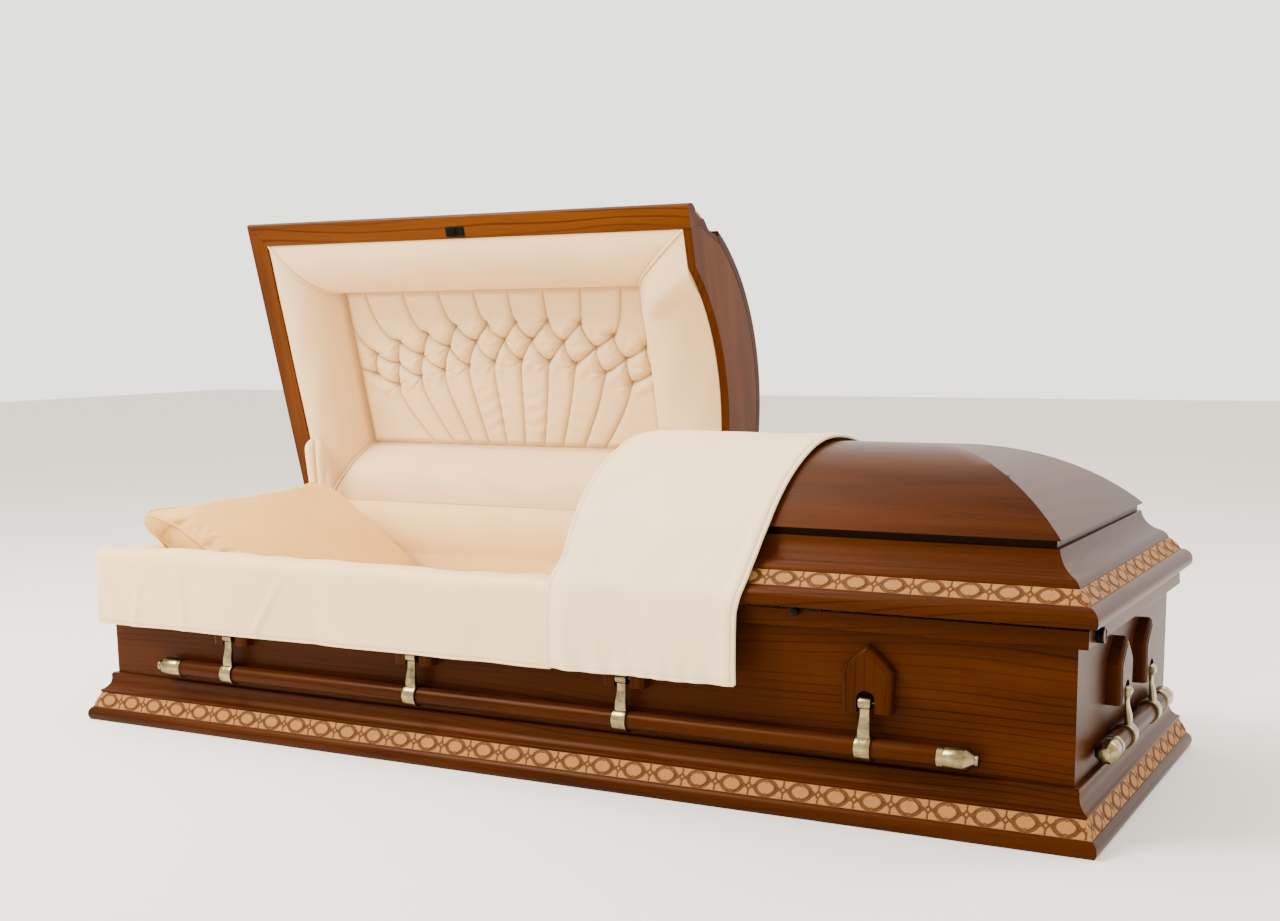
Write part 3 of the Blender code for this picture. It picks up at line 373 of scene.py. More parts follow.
def patch(points, wrap_rows=False, wrap_cols=False, cap_first=False, cap_last=False, finish=0, uv=None, **values):
    """A grid of points with its options: which ways it closes, its caps, its finish and its values."""
    return {
        "points": np.asarray(points, float),
        "wrap_rows": wrap_rows,
        "wrap_cols": wrap_cols,
        "caps": (cap_first, cap_last),
        "finish": finish,
        "uv": uv,
        "values": values,
    }


def solid(points, **options):
    """A patch whose columns close into a loop, capped at its first and last row."""
    return patch(points, wrap_cols=True, cap_first=True, cap_last=True, **options)


def rounded_square(angle, power):
    """Cosine and sine, each raised to a power below one with its sign kept: a circle pushed out towards a square."""
    return [np.sign(wave) * np.abs(wave) ** power for wave in (np.cos(angle), np.sin(angle))]


def cells(rows, cols, wrap_rows, wrap_cols):
    """The four corners of every cell of a grid, as numbers of its points."""
    r = np.arange(rows if wrap_rows else rows - 1)[:, None]
    c = np.arange(cols if wrap_cols else cols - 1)[None, :]
    r2, c2 = (r + 1) % rows, (c + 1) % cols
    quads = np.stack([r * cols + c, r2 * cols + c, r2 * cols + c2, r * cols + c2], -1)
    return quads.reshape(-1, 4)


def piece(name, patches, finishes, body, stands_for=(), sharp=32, weld=True, bevel=0.0):
    """One mesh from grid patches, welded and turned outwards, that rides on a body."""
    points, faces, marks, uvs, start = [], [], [], [], 0
    values = {}
    for item in patches:
        rows, cols = item["points"].shape[:2]
        flat = item["points"].reshape(-1, 3)
        quads = cells(rows, cols, item["wrap_rows"], item["wrap_cols"]) + start
        faces += quads.tolist()
        for cap, row in zip(item["caps"], (0, rows - 1)):
            if cap:
                faces.append((start + row * cols + np.arange(cols)).tolist())
        marks += [item["finish"]] * (len(quads) + sum(item["caps"]))
        uv = item["uv"]
        if uv is None:
            uv = metres_along(item["points"])
        uvs.append(np.asarray(uv, float).reshape(-1, 2))
        for key, value in item["values"].items():
            values.setdefault(key, np.zeros(0))
            values[key] = np.concatenate([values[key], np.zeros(start - len(values[key])), np.ravel(value)])
        points.append(flat)
        start += len(flat)
    points, uvs = np.concatenate(points), np.concatenate(uvs)
    mesh = bpy.data.meshes.new(name)
    mesh.from_pydata(points.tolist(), [], faces)
    layer = mesh.uv_layers.new(name="cloth")
    corners = np.empty(len(mesh.loops), np.int32)
    mesh.loops.foreach_get("vertex_index", corners)
    layer.data.foreach_set("uv", uvs[corners].ravel())
    for key, value in values.items():
        full = np.concatenate([value, np.zeros(start - len(value))])
        mesh.attributes.new(key, "FLOAT", "POINT").data.foreach_set("value", full.astype(np.float32))
    mesh.polygons.foreach_set("material_index", np.array(marks, np.int32))
    for finish in finishes:
        mesh.materials.append(finish)
    tidy(mesh, weld)
    mesh.shade_smooth()
    mesh.set_sharp_from_angle(angle=math.radians(sharp))
    made = bpy.data.objects.new(name, mesh)
    bpy.context.scene.collection.objects.link(made)
    if bevel:
        soften = made.modifiers.new("eased edges", "BEVEL")
        soften.width, soften.segments = bevel, 2
        soften.limit_method, soften.angle_limit = "ANGLE", math.radians(34)
    if body:
        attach(made, body)
    if stands_for:
        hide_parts(*stands_for)
    return made


def metres_along(points):
    """UV in metres: the running length of the middle row and of the middle column."""
    rows, cols = points.shape[:2]
    down = np.linalg.norm(np.diff(points[:, cols // 2], axis=0), axis=1)
    over = np.linalg.norm(np.diff(points[rows // 2], axis=0), axis=1)
    u = np.concatenate([[0], np.cumsum(down)])
    v = np.concatenate([[0], np.cumsum(over)])
    return np.stack(np.meshgrid(u, v, indexing="ij"), -1)


def tidy(mesh, weld):
    bm = bmesh.new()
    bm.from_mesh(mesh)
    if weld:
        bmesh.ops.remove_doubles(bm, verts=bm.verts, dist=0.00001)
    bmesh.ops.dissolve_degenerate(bm, edges=bm.edges, dist=0.000001)
    bmesh.ops.recalc_face_normals(bm, faces=bm.faces)
    bm.to_mesh(mesh)
    bm.free()


def opened(points):
    """Turns points of the closed head lid back about the hinge line."""
    points = np.asarray(points, float).copy()
    y, z = points[..., 1] - HINGE_Y, points[..., 2] - HINGE_Z
    c, s = math.cos(LID_OPEN), math.sin(LID_OPEN)
    points[..., 1] = HINGE_Y + y * c + z * s
    points[..., 2] = HINGE_Z - y * s + z * c
    return points


def arc(start, end, bulge, steps):
    """Points of a circular arc through both ends, bulging to the left of the way from start to end."""
    start, end = np.array(start, float), np.array(end, float)
    half = np.linalg.norm(end - start) / 2
    along = (end - start) / (2 * half)
    out = np.array((-along[1], along[0]))
    radius = (half**2 + bulge**2) / (2 * bulge)
    angle = 2 * math.atan(bulge / half) * np.linspace(-1, 1, steps + 1)[:, None]
    offset = radius * np.cos(angle) - (radius - bulge)
    return (start + end) / 2 + along * radius * np.sin(angle) + out * offset


def smooth(low, high, value):
    """Rises from 0 to 1 between low and high with level ends."""
    t = np.clip((value - low) / (high - low), 0, 1)
    return t * t * (3 - 2 * t)


def grid(rows, cols, low=0.0, high=1.0):
    """Two parameters on a grid."""
    return np.meshgrid(np.linspace(low, high, rows), np.linspace(0, 1, cols), indexing="ij")


def on_side(side, inset, height, run):
    """Points of a side at an inset, a height and a distance along its run, as arrays of one shape."""
    direction, outwards, half, _ = SIDES[side]
    inset, height, run = np.broadcast_arrays(inset, height, run)
    up = np.array((0, 0, 1.0))
    return run[..., None] * direction + (half - inset)[..., None] * outwards + height[..., None] * up


def length_of(side, section, start=None, end=None, meets=None):
    """A closed section swept along a side, its open ends mitred where no place is given."""
    section = np.asarray(section, float)
    other = SIDES[side][3]
    before, after = meets or (section, section)
    first = -(other - np.asarray(before)[:, 0] - MITRE_GAP) if start is None else np.full(len(section), start)
    last = (other - np.asarray(after)[:, 0] - MITRE_GAP) if end is None else np.full(len(section), end)
    t = np.linspace(0, 1, 3)[:, None]
    run = first[None] * (1 - t) + last[None] * t
    return solid(on_side(side, section[None, :, 0], section[None, :, 1], run))


def grain(side):
    return WOOD_X if side in ("front", "back") else WOOD_Y


# Mouldings

BASE_FOOT, BASE_BEAD = 0.0037, 0.0060
BASE_BAND_LOW, BASE_BAND_HIGH = (0.0083, 0.0268), (0.0214, 0.0560)
LID_BAND_LOW, LID_BAND_HIGH = (0.0282, 0.3810), (0.0481, 0.4040)
BAND_DEEP = 0.0040


def recess(low, high):
    """The two inner corners of the rebate that a carved strip sits in."""
    low, high = np.array(low), np.array(high)
    slope = (high - low) / np.linalg.norm(high - low)
    inwards = np.array((slope[1], -slope[0])) * BAND_DEEP
    return [low + inwards, high + inwards]


def base_section():
    """Bead, rebate, lip, cove and rounded ledge, then the straight back."""
    return np.vstack([
        arc((BASE_FOOT, 0), BASE_BAND_LOW, BASE_BEAD, 16),
        recess(BASE_BAND_LOW, BASE_BAND_HIGH),
        [BASE_BAND_HIGH],
        arc((0.0224, 0.0566), (0.0200, 0.0598), 0.0010, 5)[1:],
        arc((0.0206, 0.0616), (0.0366, 0.0905), -0.0060, 12),
        arc((0.0372, 0.0925), (0.0403 + 0.0012, BASE_TOP), 0.0014, 5),
        [(PANEL_INSET - 0.0003, BASE_TOP), (PANEL_INSET - 0.0003, 0)],
    ])


def lid_section():
    """Bullnose rim, rebate, convex foot and hollow of the ogee, then the sloping inner wall."""
    return np.vstack([
        arc((0.0126, RIM_BOTTOM - 0.0018), LID_BAND_LOW, 0.0088, 20),
        recess(LID_BAND_LOW, LID_BAND_HIGH),
        [LID_BAND_HIGH],
        arc((0.0490, 0.4062), (0.0616, 0.4185), 0.0018, 6)[:-1],
        arc((0.0616, 0.4185), (0.0908, 0.4560), -0.0062, 16),
        [(0.0968, 0.4572), (0.0968, CROWN_EDGE_Z - 0.0003), (0.1136, CROWN_EDGE_Z - 0.0003)],
        [(RIM_INNER_INSET, 0.3850), (RIM_INNER_INSET, RIM_BOTTOM - 0.0018)],
    ])


def build_case():
    """Panels, rails and base mouldings, each length with its grain along it."""
    top = RAIL_LOW - 0.0003
    panel = [(PANEL_INSET, 0), (PANEL_INSET, top), (INNER_INSET, top), (INNER_INSET, 0)]
    low, high = BACK_RAIL_INSETS
    plain = [(RAIL_INSET, RAIL_LOW), (RAIL_INSET, RAIL_HIGH), (INNER_INSET, RAIL_HIGH), (INNER_INSET, RAIL_LOW)]
    canted = [(low, RAIL_LOW), (high, RAIL_HIGH)] + plain[2:]
    rails = {"front": plain, "foot": plain, "back": canted, "head": plain}
    order = list(SIDES)
    for number, side in enumerate(order):
        meets = (rails[order[number - 1]], rails[order[(number + 1) % 4]])
        rail = length_of(side, rails[side], meets=meets)
        stands = ["top_rail_" + side]
        piece("rail_" + side, [rail], [grain(side)], "casket_box", stands, bevel=0.0012)
        board = length_of(side, panel)
        stands = [side + "_panel"]
        piece("panel_" + side, [board], [grain(side)], "casket_box", stands, bevel=0.0006)
        base = length_of(side, base_section())
        stands = ["base_moulding_" + side]
        piece("base_" + side, [base], [grain(side)], "casket_box", stands, bevel=0.0005)
    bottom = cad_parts["bottom_board"].data.materials
    bottom.clear()
    bottom.append(WOOD_X)


# Carved bands


def carving(u, v):
    """How deep the cut lines are, 0 to 1, and how high the medallions stand, 0 to 1.

    u runs along in metres from a medallion's middle, v up from the strip's middle. A medallion is an oval with two
    cusps inside a ring. Between two medallions a small diamond has a stalk and knot over and under it.
    """
    u = (u + BAND_PITCH / 2) % BAND_PITCH - BAND_PITCH / 2

    def line(distance, width):
        return 1 - smooth(width * 0.45, width, np.abs(distance))

    def oval(half_u, half_v, reach=1.0):
        radius = np.hypot(u / half_u, v / half_v)
        return (radius - reach) * np.hypot(half_u, half_v) / 1.55

    turn = np.arctan2(v / 0.0108, u / 0.0166)
    cusps = 1 + 0.03 * np.cos(4 * turn) - 0.20 * np.exp(-(((np.abs(turn) - math.pi / 2) / 0.13) ** 2))
    inner = oval(0.0166, 0.0108, cusps)
    ring = oval(0.0203, 0.0134)
    across = np.abs(np.abs(u) - BAND_PITCH / 2)
    diamond = (across / 0.0050 + np.abs(v) / 0.0056 - 1) * 0.0037
    fork = np.where((across > 0.0040) & (across < 0.0120), np.abs(np.abs(v) - 0.55 * (across - 0.0050).clip(0)), 1)
    stalk = np.where((np.abs(v) > 0.0050) & (np.abs(v) < 0.0120), across, 1)
    knot = np.hypot(across, np.abs(v) - 0.0122) - 0.0014
    cut = np.maximum.reduce([
        line(inner, 0.0021), line(ring, 0.0022), line(diamond, 0.0024), line(fork, 0.0026), line(stalk, 0.0022),
        1 - smooth(0, 0.0010, knot),
    ])
    between = smooth(-0.0004, 0.0004, inner) * (1 - smooth(-0.0004, 0.0004, ring))
    cut = np.maximum(cut, 0.55 * between)
    raised = 1 - smooth(-0.0045, -0.0015, ring)
    return cut, raised


def carved_strip(name, side, low, high, body, stands_for=(), start=None, end=None, lay=None, step=0.0011):
    """A strip bent to nothing but its relief: cut lines 1.0 mm deep, medallions 1.1 mm proud."""
    low, high = np.array(low), np.array(high)
    tall = np.linalg.norm(high - low)
    slope = (high - low) / tall
    outward = np.array((-slope[1], slope[0]))
    other = SIDES[side][3]
    middle = (low[0] + high[0]) / 2
    ends = (-(other - middle) if start is None else start, (other - middle) if end is None else end)
    count = int((ends[1] - ends[0]) / BAND_PITCH)
    first = ends[0] + (ends[1] - ends[0] - (count - 1) * BAND_PITCH) / 2
    s, t = grid(int((ends[1] - ends[0]) / step), int(tall / 0.0010) + 1)
    v = (t - 0.5) * tall
    inset_flat = low[0] + slope[0] * t * tall
    begin = -(other - inset_flat - MITRE_GAP) if start is None else start
    finish = (other - inset_flat - MITRE_GAP) if end is None else end
    run = begin + (finish - begin) * s
    cut, raised = carving(run - first, v * 0.0295 / tall)
    edge = smooth(0, 0.0012, tall / 2 - np.abs(v))
    relief = (-0.0009 * cut + 0.0011 * raised) * edge - 0.0012 * (1 - edge)
    inset = inset_flat + outward[0] * relief
    height = low[1] + slope[1] * t * tall + outward[1] * relief
    points = on_side(side, inset, height, run)
    back = [np.array(point) for point in recess(low, high)]
    deep = on_side(
        side,
        np.stack([inset[:, -1], np.full(len(s), back[1][0]), np.full(len(s), back[0][0]), inset[:, 0]], 1),
        np.stack([height[:, -1], np.full(len(s), back[1][1]), np.full(len(s), back[0][1]), height[:, 0]], 1),
        np.stack([run[:, -1], run[:, -1], run[:, 0], run[:, 0]], 1),
    )
    ring_first = np.concatenate([points[0], deep[0, 1:3]])
    ring_last = np.concatenate([points[-1], deep[-1, 1:3]])
    if lay:
        points, deep, ring_first, ring_last = lay(points), lay(deep), lay(ring_first), lay(ring_last)
    patches = [patch(points, cut=cut), patch(deep)]
    for ring in (ring_first, ring_last):
        patches.append(patch(np.stack([ring, np.broadcast_to(ring.mean(0), ring.shape)]), wrap_cols=True))
    piece(name, patches, [CARVED], body, stands_for, sharp=60)


def build_bands():
    """The strips in the base and in both lids, with those on the hidden sides cut a little coarser."""
    low, high = BASE_BAND_LOW, BASE_BAND_HIGH
    carved_strip("carving_base_front", "front", low, high, "casket_box", ["base_band_front"])
    carved_strip("carving_base_foot", "foot", low, high, "casket_box", ["base_band_foot"])
    carved_strip("carving_base_back", "back", low, high, "casket_box", step=0.0020)
    carved_strip("carving_base_head", "head", low, high, "casket_box", step=0.0016)
    low, high = LID_BAND_LOW, LID_BAND_HIGH
    begin, finish = FOOT_LID_START + 0.0003, HEAD_LID_END - 0.0003
    carved_strip("carving_foot_lid_front", "front", low, high, "foot_lid", ["foot_lid_band_front"], start=begin)
    carved_strip("carving_foot_lid_end", "foot", low, high, "foot_lid", ["foot_lid_band_end"])
    carved_strip("carving_foot_lid_back", "back", low, high, "foot_lid", end=-begin, step=0.0020)
    stands = ["head_lid_band_front"]
    carved_strip("carving_head_lid_front", "front", low, high, "head_lid", stands, end=finish, lay=opened)
    carved_strip("carving_head_lid_end", "head", low, high, "head_lid", lay=opened, step=0.0016)
    carved_strip("carving_head_lid_back", "back", low, high, "head_lid", start=-finish, lay=opened, step=0.0020)


# Lids


def vault_shell(cut_x, way, radius, span, steps=40):
    """The barrel and its hip: height over half a span comes from the circle, the hip meets it at equal distances."""
    ridge = way * (HALF_LENGTH - HALF_WIDTH)
    across = np.sin(np.linspace(-1, 1, 2 * steps + 1) * math.asin(span / radius)) * radius
    across[[0, -1]] = (-span, span)
    height = CROWN_CENTRE + np.sqrt(radius**2 - across**2)
    t = np.linspace(0, 1, 20)[None, :]
    x = cut_x + (ridge + way * np.abs(across)[:, None] - cut_x) * t
    barrel = np.stack([x, across[:, None] + 0 * t, height[:, None] + 0 * t], -1)
    out, rise = across[steps:], height[steps:]
    s = np.linspace(-1, 1, 25)[None, :]
    hip = np.stack([ridge + way * out[:, None] + 0 * s, out[:, None] * s, rise[:, None] + 0 * s], -1)
    return barrel, hip


def crown(name, cut_x, way, body, lay=None):
    """A shell between two vaults, closed under its edge and at its cut end."""
    outer, outer_hip = vault_shell(cut_x, way, CROWN_RADIUS, CROWN_SPAN)
    inner, inner_hip = vault_shell(cut_x, way, CROWN_RADIUS - CROWN_THICKNESS, CROWN_INNER_SPAN)
    joins = [(outer[0], inner[0]), (outer[-1], inner[-1]), (outer[:, 0], inner[:, 0]), (outer_hip[-1], inner_hip[-1])]
    grids = [outer, outer_hip, inner, inner_hip] + [np.stack(pair) for pair in joins]
    patches = []
    for index, points in enumerate(grids):
        patches.append(patch(lay(points) if lay else points, finish=int(index in (1, 3))))
    across = WOOD_OPEN if lay else WOOD_Y
    piece(name + "_dome", patches, [WOOD_X, across], body, [name + "_crown"], sharp=26, bevel=0.0009)


def rib(name, low_x, body, lay=None):
    """The cut-end board: moulding wall, crown arc and the arch below, as one outline with two faces."""
    edge = HALF_WIDTH - RIM_INNER_INSET - 0.0003
    inner = CROWN_RADIUS - CROWN_THICKNESS - 0.0003
    angle = np.linspace(-1, 1, 60) * math.asin((CROWN_INNER_SPAN - 0.0003) / inner)
    top = np.stack([inner * np.sin(angle), CROWN_CENTRE + inner * np.cos(angle)], 1)
    under = arc((ARCH_HALF, RIM_BOTTOM), (-ARCH_HALF, RIM_BOTTOM), -ARCH_RISE, 50)
    sides = np.array([(-edge, RIM_BOTTOM), (-edge, 0.3850)])
    outline = np.vstack([sides, top, sides[::-1] * (-1, 1), under])
    points = np.stack([np.insert(outline, 0, x, axis=1) for x in (low_x, low_x + RIB)])
    pale = np.full(points.shape[:2], 0.45 if lay else 0.0)
    board = solid(lay(points) if lay else points, pale=pale)
    finish = WOOD_OPEN if lay else WOOD_Y
    piece(name + "_end_board", [board], [finish], body, [name + "_rib"], bevel=0.0010)


def build_lid(name, cut_x, end, lay=None):
    """One half of the lid: crown, end board and three mitred lengths of moulding."""
    way = 1 if end == "foot" else -1
    crown(name, cut_x, way, name, lay)
    rib(name, min(cut_x, cut_x + way * RIB), name, lay)
    spans = {
        "front": {"start": cut_x} if way > 0 else {"end": cut_x},
        "back": {"end": -cut_x} if way > 0 else {"start": -cut_x},
        end: {},
    }
    for side, ends in spans.items():
        called = "end" if side == end else side
        swept = length_of(side, lid_section(), **ends)
        section = lid_section()
        # Painted shadow lines: the recess under the crown's edge, and on the closed lid the rim's lowest edge, are
        # marked here to be darkened.
        painted_shadow_line = np.isclose(section[:, 0], 0.0968) * 1.0
        underside = np.isclose(section[:, 1], RIM_BOTTOM - 0.0018) * 1.0
        painted_shadow_line[0] = 0.9 * (lay is None)
        swept["values"] = {"painted_shadow_line": np.tile(painted_shadow_line, (3, 1)), "pale": np.tile(underside, (3, 1))}
        if lay:
            swept["points"] = lay(swept["points"])
        finish = grain(side) if called != "end" or not lay else WOOD_OPEN
        stands = [f"{name}_moulding_{called}"]
        piece(f"{name}_cornice_{called}", [swept], [finish], name, stands, bevel=0.0005)


# Ears, arms and bars

EAR_BOTTOM, EAR_SHOULDER, EAR_APEX = 0.184, 0.252, 0.293
EAR_BOTTOM_HALF, EAR_SHOULDER_HALF = 0.041, 0.045
EAR_THICKNESS, EAR_EDGE = 0.024, 0.0085
ARCH_HALF_WIDTH, ARCH_SPRING, ARCH_TOP = 0.0155, 0.2070, 0.2205


def shield(inset):
    """The ear's outline moved in by an inset along its sides and brows, while its foot and arch stay."""
    side = np.array((EAR_SHOULDER_HALF - EAR_BOTTOM_HALF, EAR_SHOULDER - EAR_BOTTOM))
    brow = np.array((-EAR_SHOULDER_HALF, EAR_APEX - EAR_SHOULDER))
    side_in = np.array((-side[1], side[0])) / np.linalg.norm(side)
    brow_in = np.array((-brow[1], brow[0])) / np.linalg.norm(brow)
    foot = np.array((EAR_BOTTOM_HALF, EAR_BOTTOM)) + side_in * inset
    foot = foot + side * (EAR_BOTTOM - foot[1]) / side[1]
    on_brow = np.array((EAR_SHOULDER_HALF, EAR_SHOULDER)) + brow_in * inset
    steps = np.linalg.solve(np.stack([side, -brow], 1), on_brow - foot)
    shoulder = foot + side * steps[0]
    apex = on_brow + brow * (-on_brow[0] / brow[0])
    curve = arc(shoulder, apex, -0.0025, 8)
    right = np.vstack([[foot], curve])
    left = (right[:-1] * (-1, 1))[::-1]
    angle = np.linspace(0, math.pi, 17)
    mouth = np.stack([-ARCH_HALF_WIDTH * np.cos(angle), ARCH_SPRING + (ARCH_TOP - ARCH_SPRING) * np.sin(angle)], 1)
    low = np.array([(-ARCH_HALF_WIDTH, EAR_BOTTOM)])
    return np.vstack([right, left, low, mouth, low * (-1, 1)])


def build_ear(name, side, run, stands_for):
    """Loops of the shield from its back to its face: straight edge, round-over, then a small step up."""
    turn = np.linspace(0, math.pi / 2, 8)
    loops = [(0.0003, 0.0)] + [
        (EAR_THICKNESS - 0.0085 + 0.0075 * math.sin(a), EAR_EDGE * (1 - math.cos(a))) for a in turn
    ]
    loops += [(EAR_THICKNESS - 0.0010, EAR_EDGE + 0.0002), (EAR_THICKNESS, EAR_EDGE + 0.0008)]
    rows = []
    for out, inset in loops:
        outline = shield(inset)
        rows.append(on_side(side, np.full(len(outline), PANEL_INSET - out), outline[:, 1], run + outline[:, 0]))
    body = solid(np.stack(rows))
    piece(name, [body], [WOOD_Z], "casket_box", stands_for, sharp=30, bevel=0.0004)


def across_side(side, run, out, height):
    """Points beside a panel: along its run, out from its face and up."""
    return on_side(side, PANEL_INSET - np.asarray(out), height, run)


def lathe(side, run, out, height, radius, around=40, facets=0):
    """A turned surface about a line along the side: radius at each place along it, eight-sided where facets is 1."""
    angle = np.linspace(0, 2 * math.pi, around, endpoint=False)[None, :]
    run, radius = np.asarray(run, float)[:, None], np.asarray(radius, float)[:, None]
    eight = math.cos(math.pi / 8) / np.cos((angle + math.pi / 8) % (math.pi / 4) - math.pi / 8)
    radius = radius * (1 - np.reshape(facets, (-1, 1)) * (1 - eight))
    return across_side(side, run + 0 * angle, out + radius * np.cos(angle), height + radius * np.sin(angle))


def strap(side, run):
    """The neck: a rounded bar whose width, thickness and stand-off change smoothly from knuckle to clasp."""
    down = np.linspace(0, 1, 26)[:, None]
    angle = np.linspace(0, 2 * math.pi, 24, endpoint=False)[None, :]
    places = (0, 0.15, 0.22, 0.34, 0.80, 0.90, 1)
    width = np.interp(down, places, (0.0102, 0.0102, 0.0082, 0.0080, 0.0106, 0.0110, 0.0112))
    thick = np.interp(down, (0, 0.22, 0.40, 0.68, 0.85, 1), (0.0036, 0.0028, 0.0026, 0.0046, 0.0052, 0.0046))
    out = np.interp(down, (0, 0.22, 0.45, 0.70, 1), (0.0254, 0.0244, 0.0250, 0.0276, 0.0282))
    height = 0.2040 + (0.1420 - 0.2040) * down
    c, s = rounded_square(angle, 0.30)
    return solid(across_side(side, run + width * c, out + thick * s, height + 0 * angle))


def arm_patches(side, run):
    """Knuckle, pin, strap and clasp of one arm."""
    half = 0.0107
    ease = np.linspace(0, math.pi / 2, 5)
    nose = 0.0105 - 0.0022 * (1 - np.sin(ease))
    places = np.concatenate([-half + 0.0022 * (1 - np.cos(ease)), (half - 0.0022 * (1 - np.cos(ease)))[::-1]])
    radii = np.concatenate([nose, nose[::-1]])
    knuckle = solid(lathe(side, run + places, 0.0215, PIN_Z, radii))
    pin = solid(lathe(side, run + np.array((-0.0212, 0.0212)), PIN_OUT, PIN_Z, (0.0025, 0.0025), 16))
    wide, wall = 0.0135, 0.0044
    inner = BAR_RADIUS + 0.0003
    shape_run = np.array((-1, -1, -0.95, -0.88, -0.4, 0, 0.4, 0.88, 0.95, 1, 1)) * wide
    crown_out = np.array((0, 0.80, 0.95, 1.0, 0.97, 0.96, 0.97, 1.0, 0.95, 0.80, 0)) * wall
    loop_run = np.concatenate([run + shape_run, [run - wide]])
    loop_radius = np.concatenate([inner + crown_out, [inner]])
    clasp = patch(lathe(side, loop_run, BAR_OUT + 0.0003, BAR_Z, loop_radius, 48), wrap_cols=True)
    return [knuckle, pin, strap(side, run), clasp]


def bar_patches(side, half):
    """The wooden rod and its two turned caps: rim, waist, barrel, chamfer, neck and button."""
    start = half - 0.066
    rod = solid(lathe(side, (-start - 0.004, start + 0.004), BAR_OUT, BAR_Z, (BAR_RADIUS, BAR_RADIUS), 48))
    along = np.array((0, 0.0006, 0.0100, 0.0106, 0.0112, 0.0118, 0.030, 0.0440,
                      0.0470, 0.0580, 0.0595, 0.0606, 0.0640, 0.0654, 0.0660))
    radius = np.array((0.0182, 0.0192, 0.0192, 0.0186, 0.0181, 0.0183, 0.0192, 0.0196,
                       0.0196, 0.0106, 0.0092, 0.0106, 0.0108, 0.0098, 0.0070))
    facets = np.array((0, 0, 0, 0, 0, 0, 0, 0.25, 1, 1, 0, 0, 0, 0, 0))
    caps = []
    for way in (-1, 1):
        place = way * (start + along)
        order = slice(None, None, way)
        turned = lathe(side, place[order], BAR_OUT, BAR_Z, radius[order], 48, facets[order])
        caps.append(solid(turned, finish=1))
    return [rod] + caps


def build_handles():
    """Ears on the box, and one swing bar a side: brass arms around a wooden rod with brass caps."""
    for side in SIDES:
        long = side in ("front", "back")
        places = (np.arange(4) - 1.5) * EAR_PITCH_LONG if long else (np.arange(2) - 0.5) * EAR_PITCH_END
        half = BAR_HALF_LONG if long else BAR_HALF_END
        swing_bar = side + "_swing_bar"
        for number, run in enumerate(places, 1):
            build_ear(f"shield_{side}_{number}", side, run, [f"ear_{side}_{number}"])
            if side in ("front", "foot"):
                stands = [f"{side}_arm_{number}"]
                arm = arm_patches(side, run)
                piece(f"bracket_{side}_{number}", arm, [BRASS], swing_bar, stands, sharp=38)
        parts, stands = bar_patches(side, half), [side + "_bar"]
        if side not in ("front", "foot"):
            stands = [side + "_handle"]
            for run in places:
                for item in arm_patches(side, run):
                    item["finish"] = 1
                    parts.append(item)
        piece("rod_" + side, parts, [grain(side), BRASS], swing_bar, stands, sharp=38)


# Sewn cloth

HEAD_INNER = -(HALF_LENGTH - RIM_INNER_INSET) + 0.0015
CUT_INNER = HEAD_LID_END - RIB - 0.0015
SIDE_INNER = HALF_WIDTH - RIM_INNER_INSET - 0.0015
TUFT_HEAD, TUFT_CUT, TUFT_SIDE, TUFT_Z = -0.896, -0.096, 0.1845, 0.4740
ROLL_LOW = 0.3535

BUTTONS = (
    ((-0.843, -0.034), (-0.769, -0.062), (-0.686, -0.081), (-0.603, -0.098), (-0.517, -0.103),
     (-0.440, -0.106), (-0.356, -0.108), (-0.274, -0.101), (-0.195, -0.073), (-0.119, -0.046)),
    ((-0.852, 0.014), (-0.783, -0.011), (-0.710, -0.031), (-0.632, -0.050), (-0.557, -0.061), (-0.479, -0.065),
     (-0.405, -0.065), (-0.324, -0.059), (-0.243, -0.046), (-0.171, -0.021), (-0.106, 0.008)),
    ((-0.793, 0.041), (-0.726, 0.022), (-0.657, 0.006), (-0.587, -0.004), (-0.515, -0.014),
     (-0.442, -0.017), (-0.369, -0.015), (-0.301, -0.009), (-0.228, 0.010), (-0.164, 0.033)),
)
FAN_TOP = (-0.839, -0.732, -0.632, -0.536, -0.445, -0.352, -0.257, -0.155)
FAN_LOW = (-0.712, -0.657, -0.606, -0.560, -0.512, -0.463, -0.412, -0.363, -0.307, -0.253)


def flow(points, steps):
    """A smooth curve through points: each span is a cubic whose end slopes follow its neighbours."""
    p = np.asarray(points, float)
    p = np.vstack([2 * p[0] - p[1], p, 2 * p[-1] - p[-2]])
    t = np.linspace(0, 1, steps, endpoint=False)[:, None]
    spans = []
    for a, b, c, d in zip(p, p[1:], p[2:], p[3:]):
        spans.append(0.5 * (2 * b + (c - a) * t + (2 * a - 5 * b + 4 * c - d) * t**2 + (3 * b - a - 3 * c + d) * t**3))
    return np.vstack(spans + [p[-2:-1]])


def tube(line, radius, around=10, finish=0):
    """A round cord along a line of points."""
    line = np.asarray(line, float)
    ahead = np.gradient(line, axis=0)
    ahead /= np.linalg.norm(ahead, axis=1)[:, None]
    side = np.cross(ahead, (0.37, 0.52, 0.77))
    side /= np.linalg.norm(side, axis=1)[:, None]
    up = np.cross(ahead, side)
    angle = np.linspace(0, 2 * math.pi, around, endpoint=False)[None, :, None]
    round_line = line[:, None] + radius * (np.cos(angle) * side[:, None] + np.sin(angle) * up[:, None])
    return solid(round_line, finish=finish)


def arch_lift(y):
    """How far the cut-end board's arch stands over the rim at a width."""
    radius = (ARCH_HALF**2 + ARCH_RISE**2) / (2 * ARCH_RISE)
    rise = np.clip(np.sqrt(np.clip(radius**2 - y**2, 0, None)) - (radius - ARCH_RISE), 0, None)
    return rise * smooth(0, 0.075, ARCH_HALF - np.abs(y))


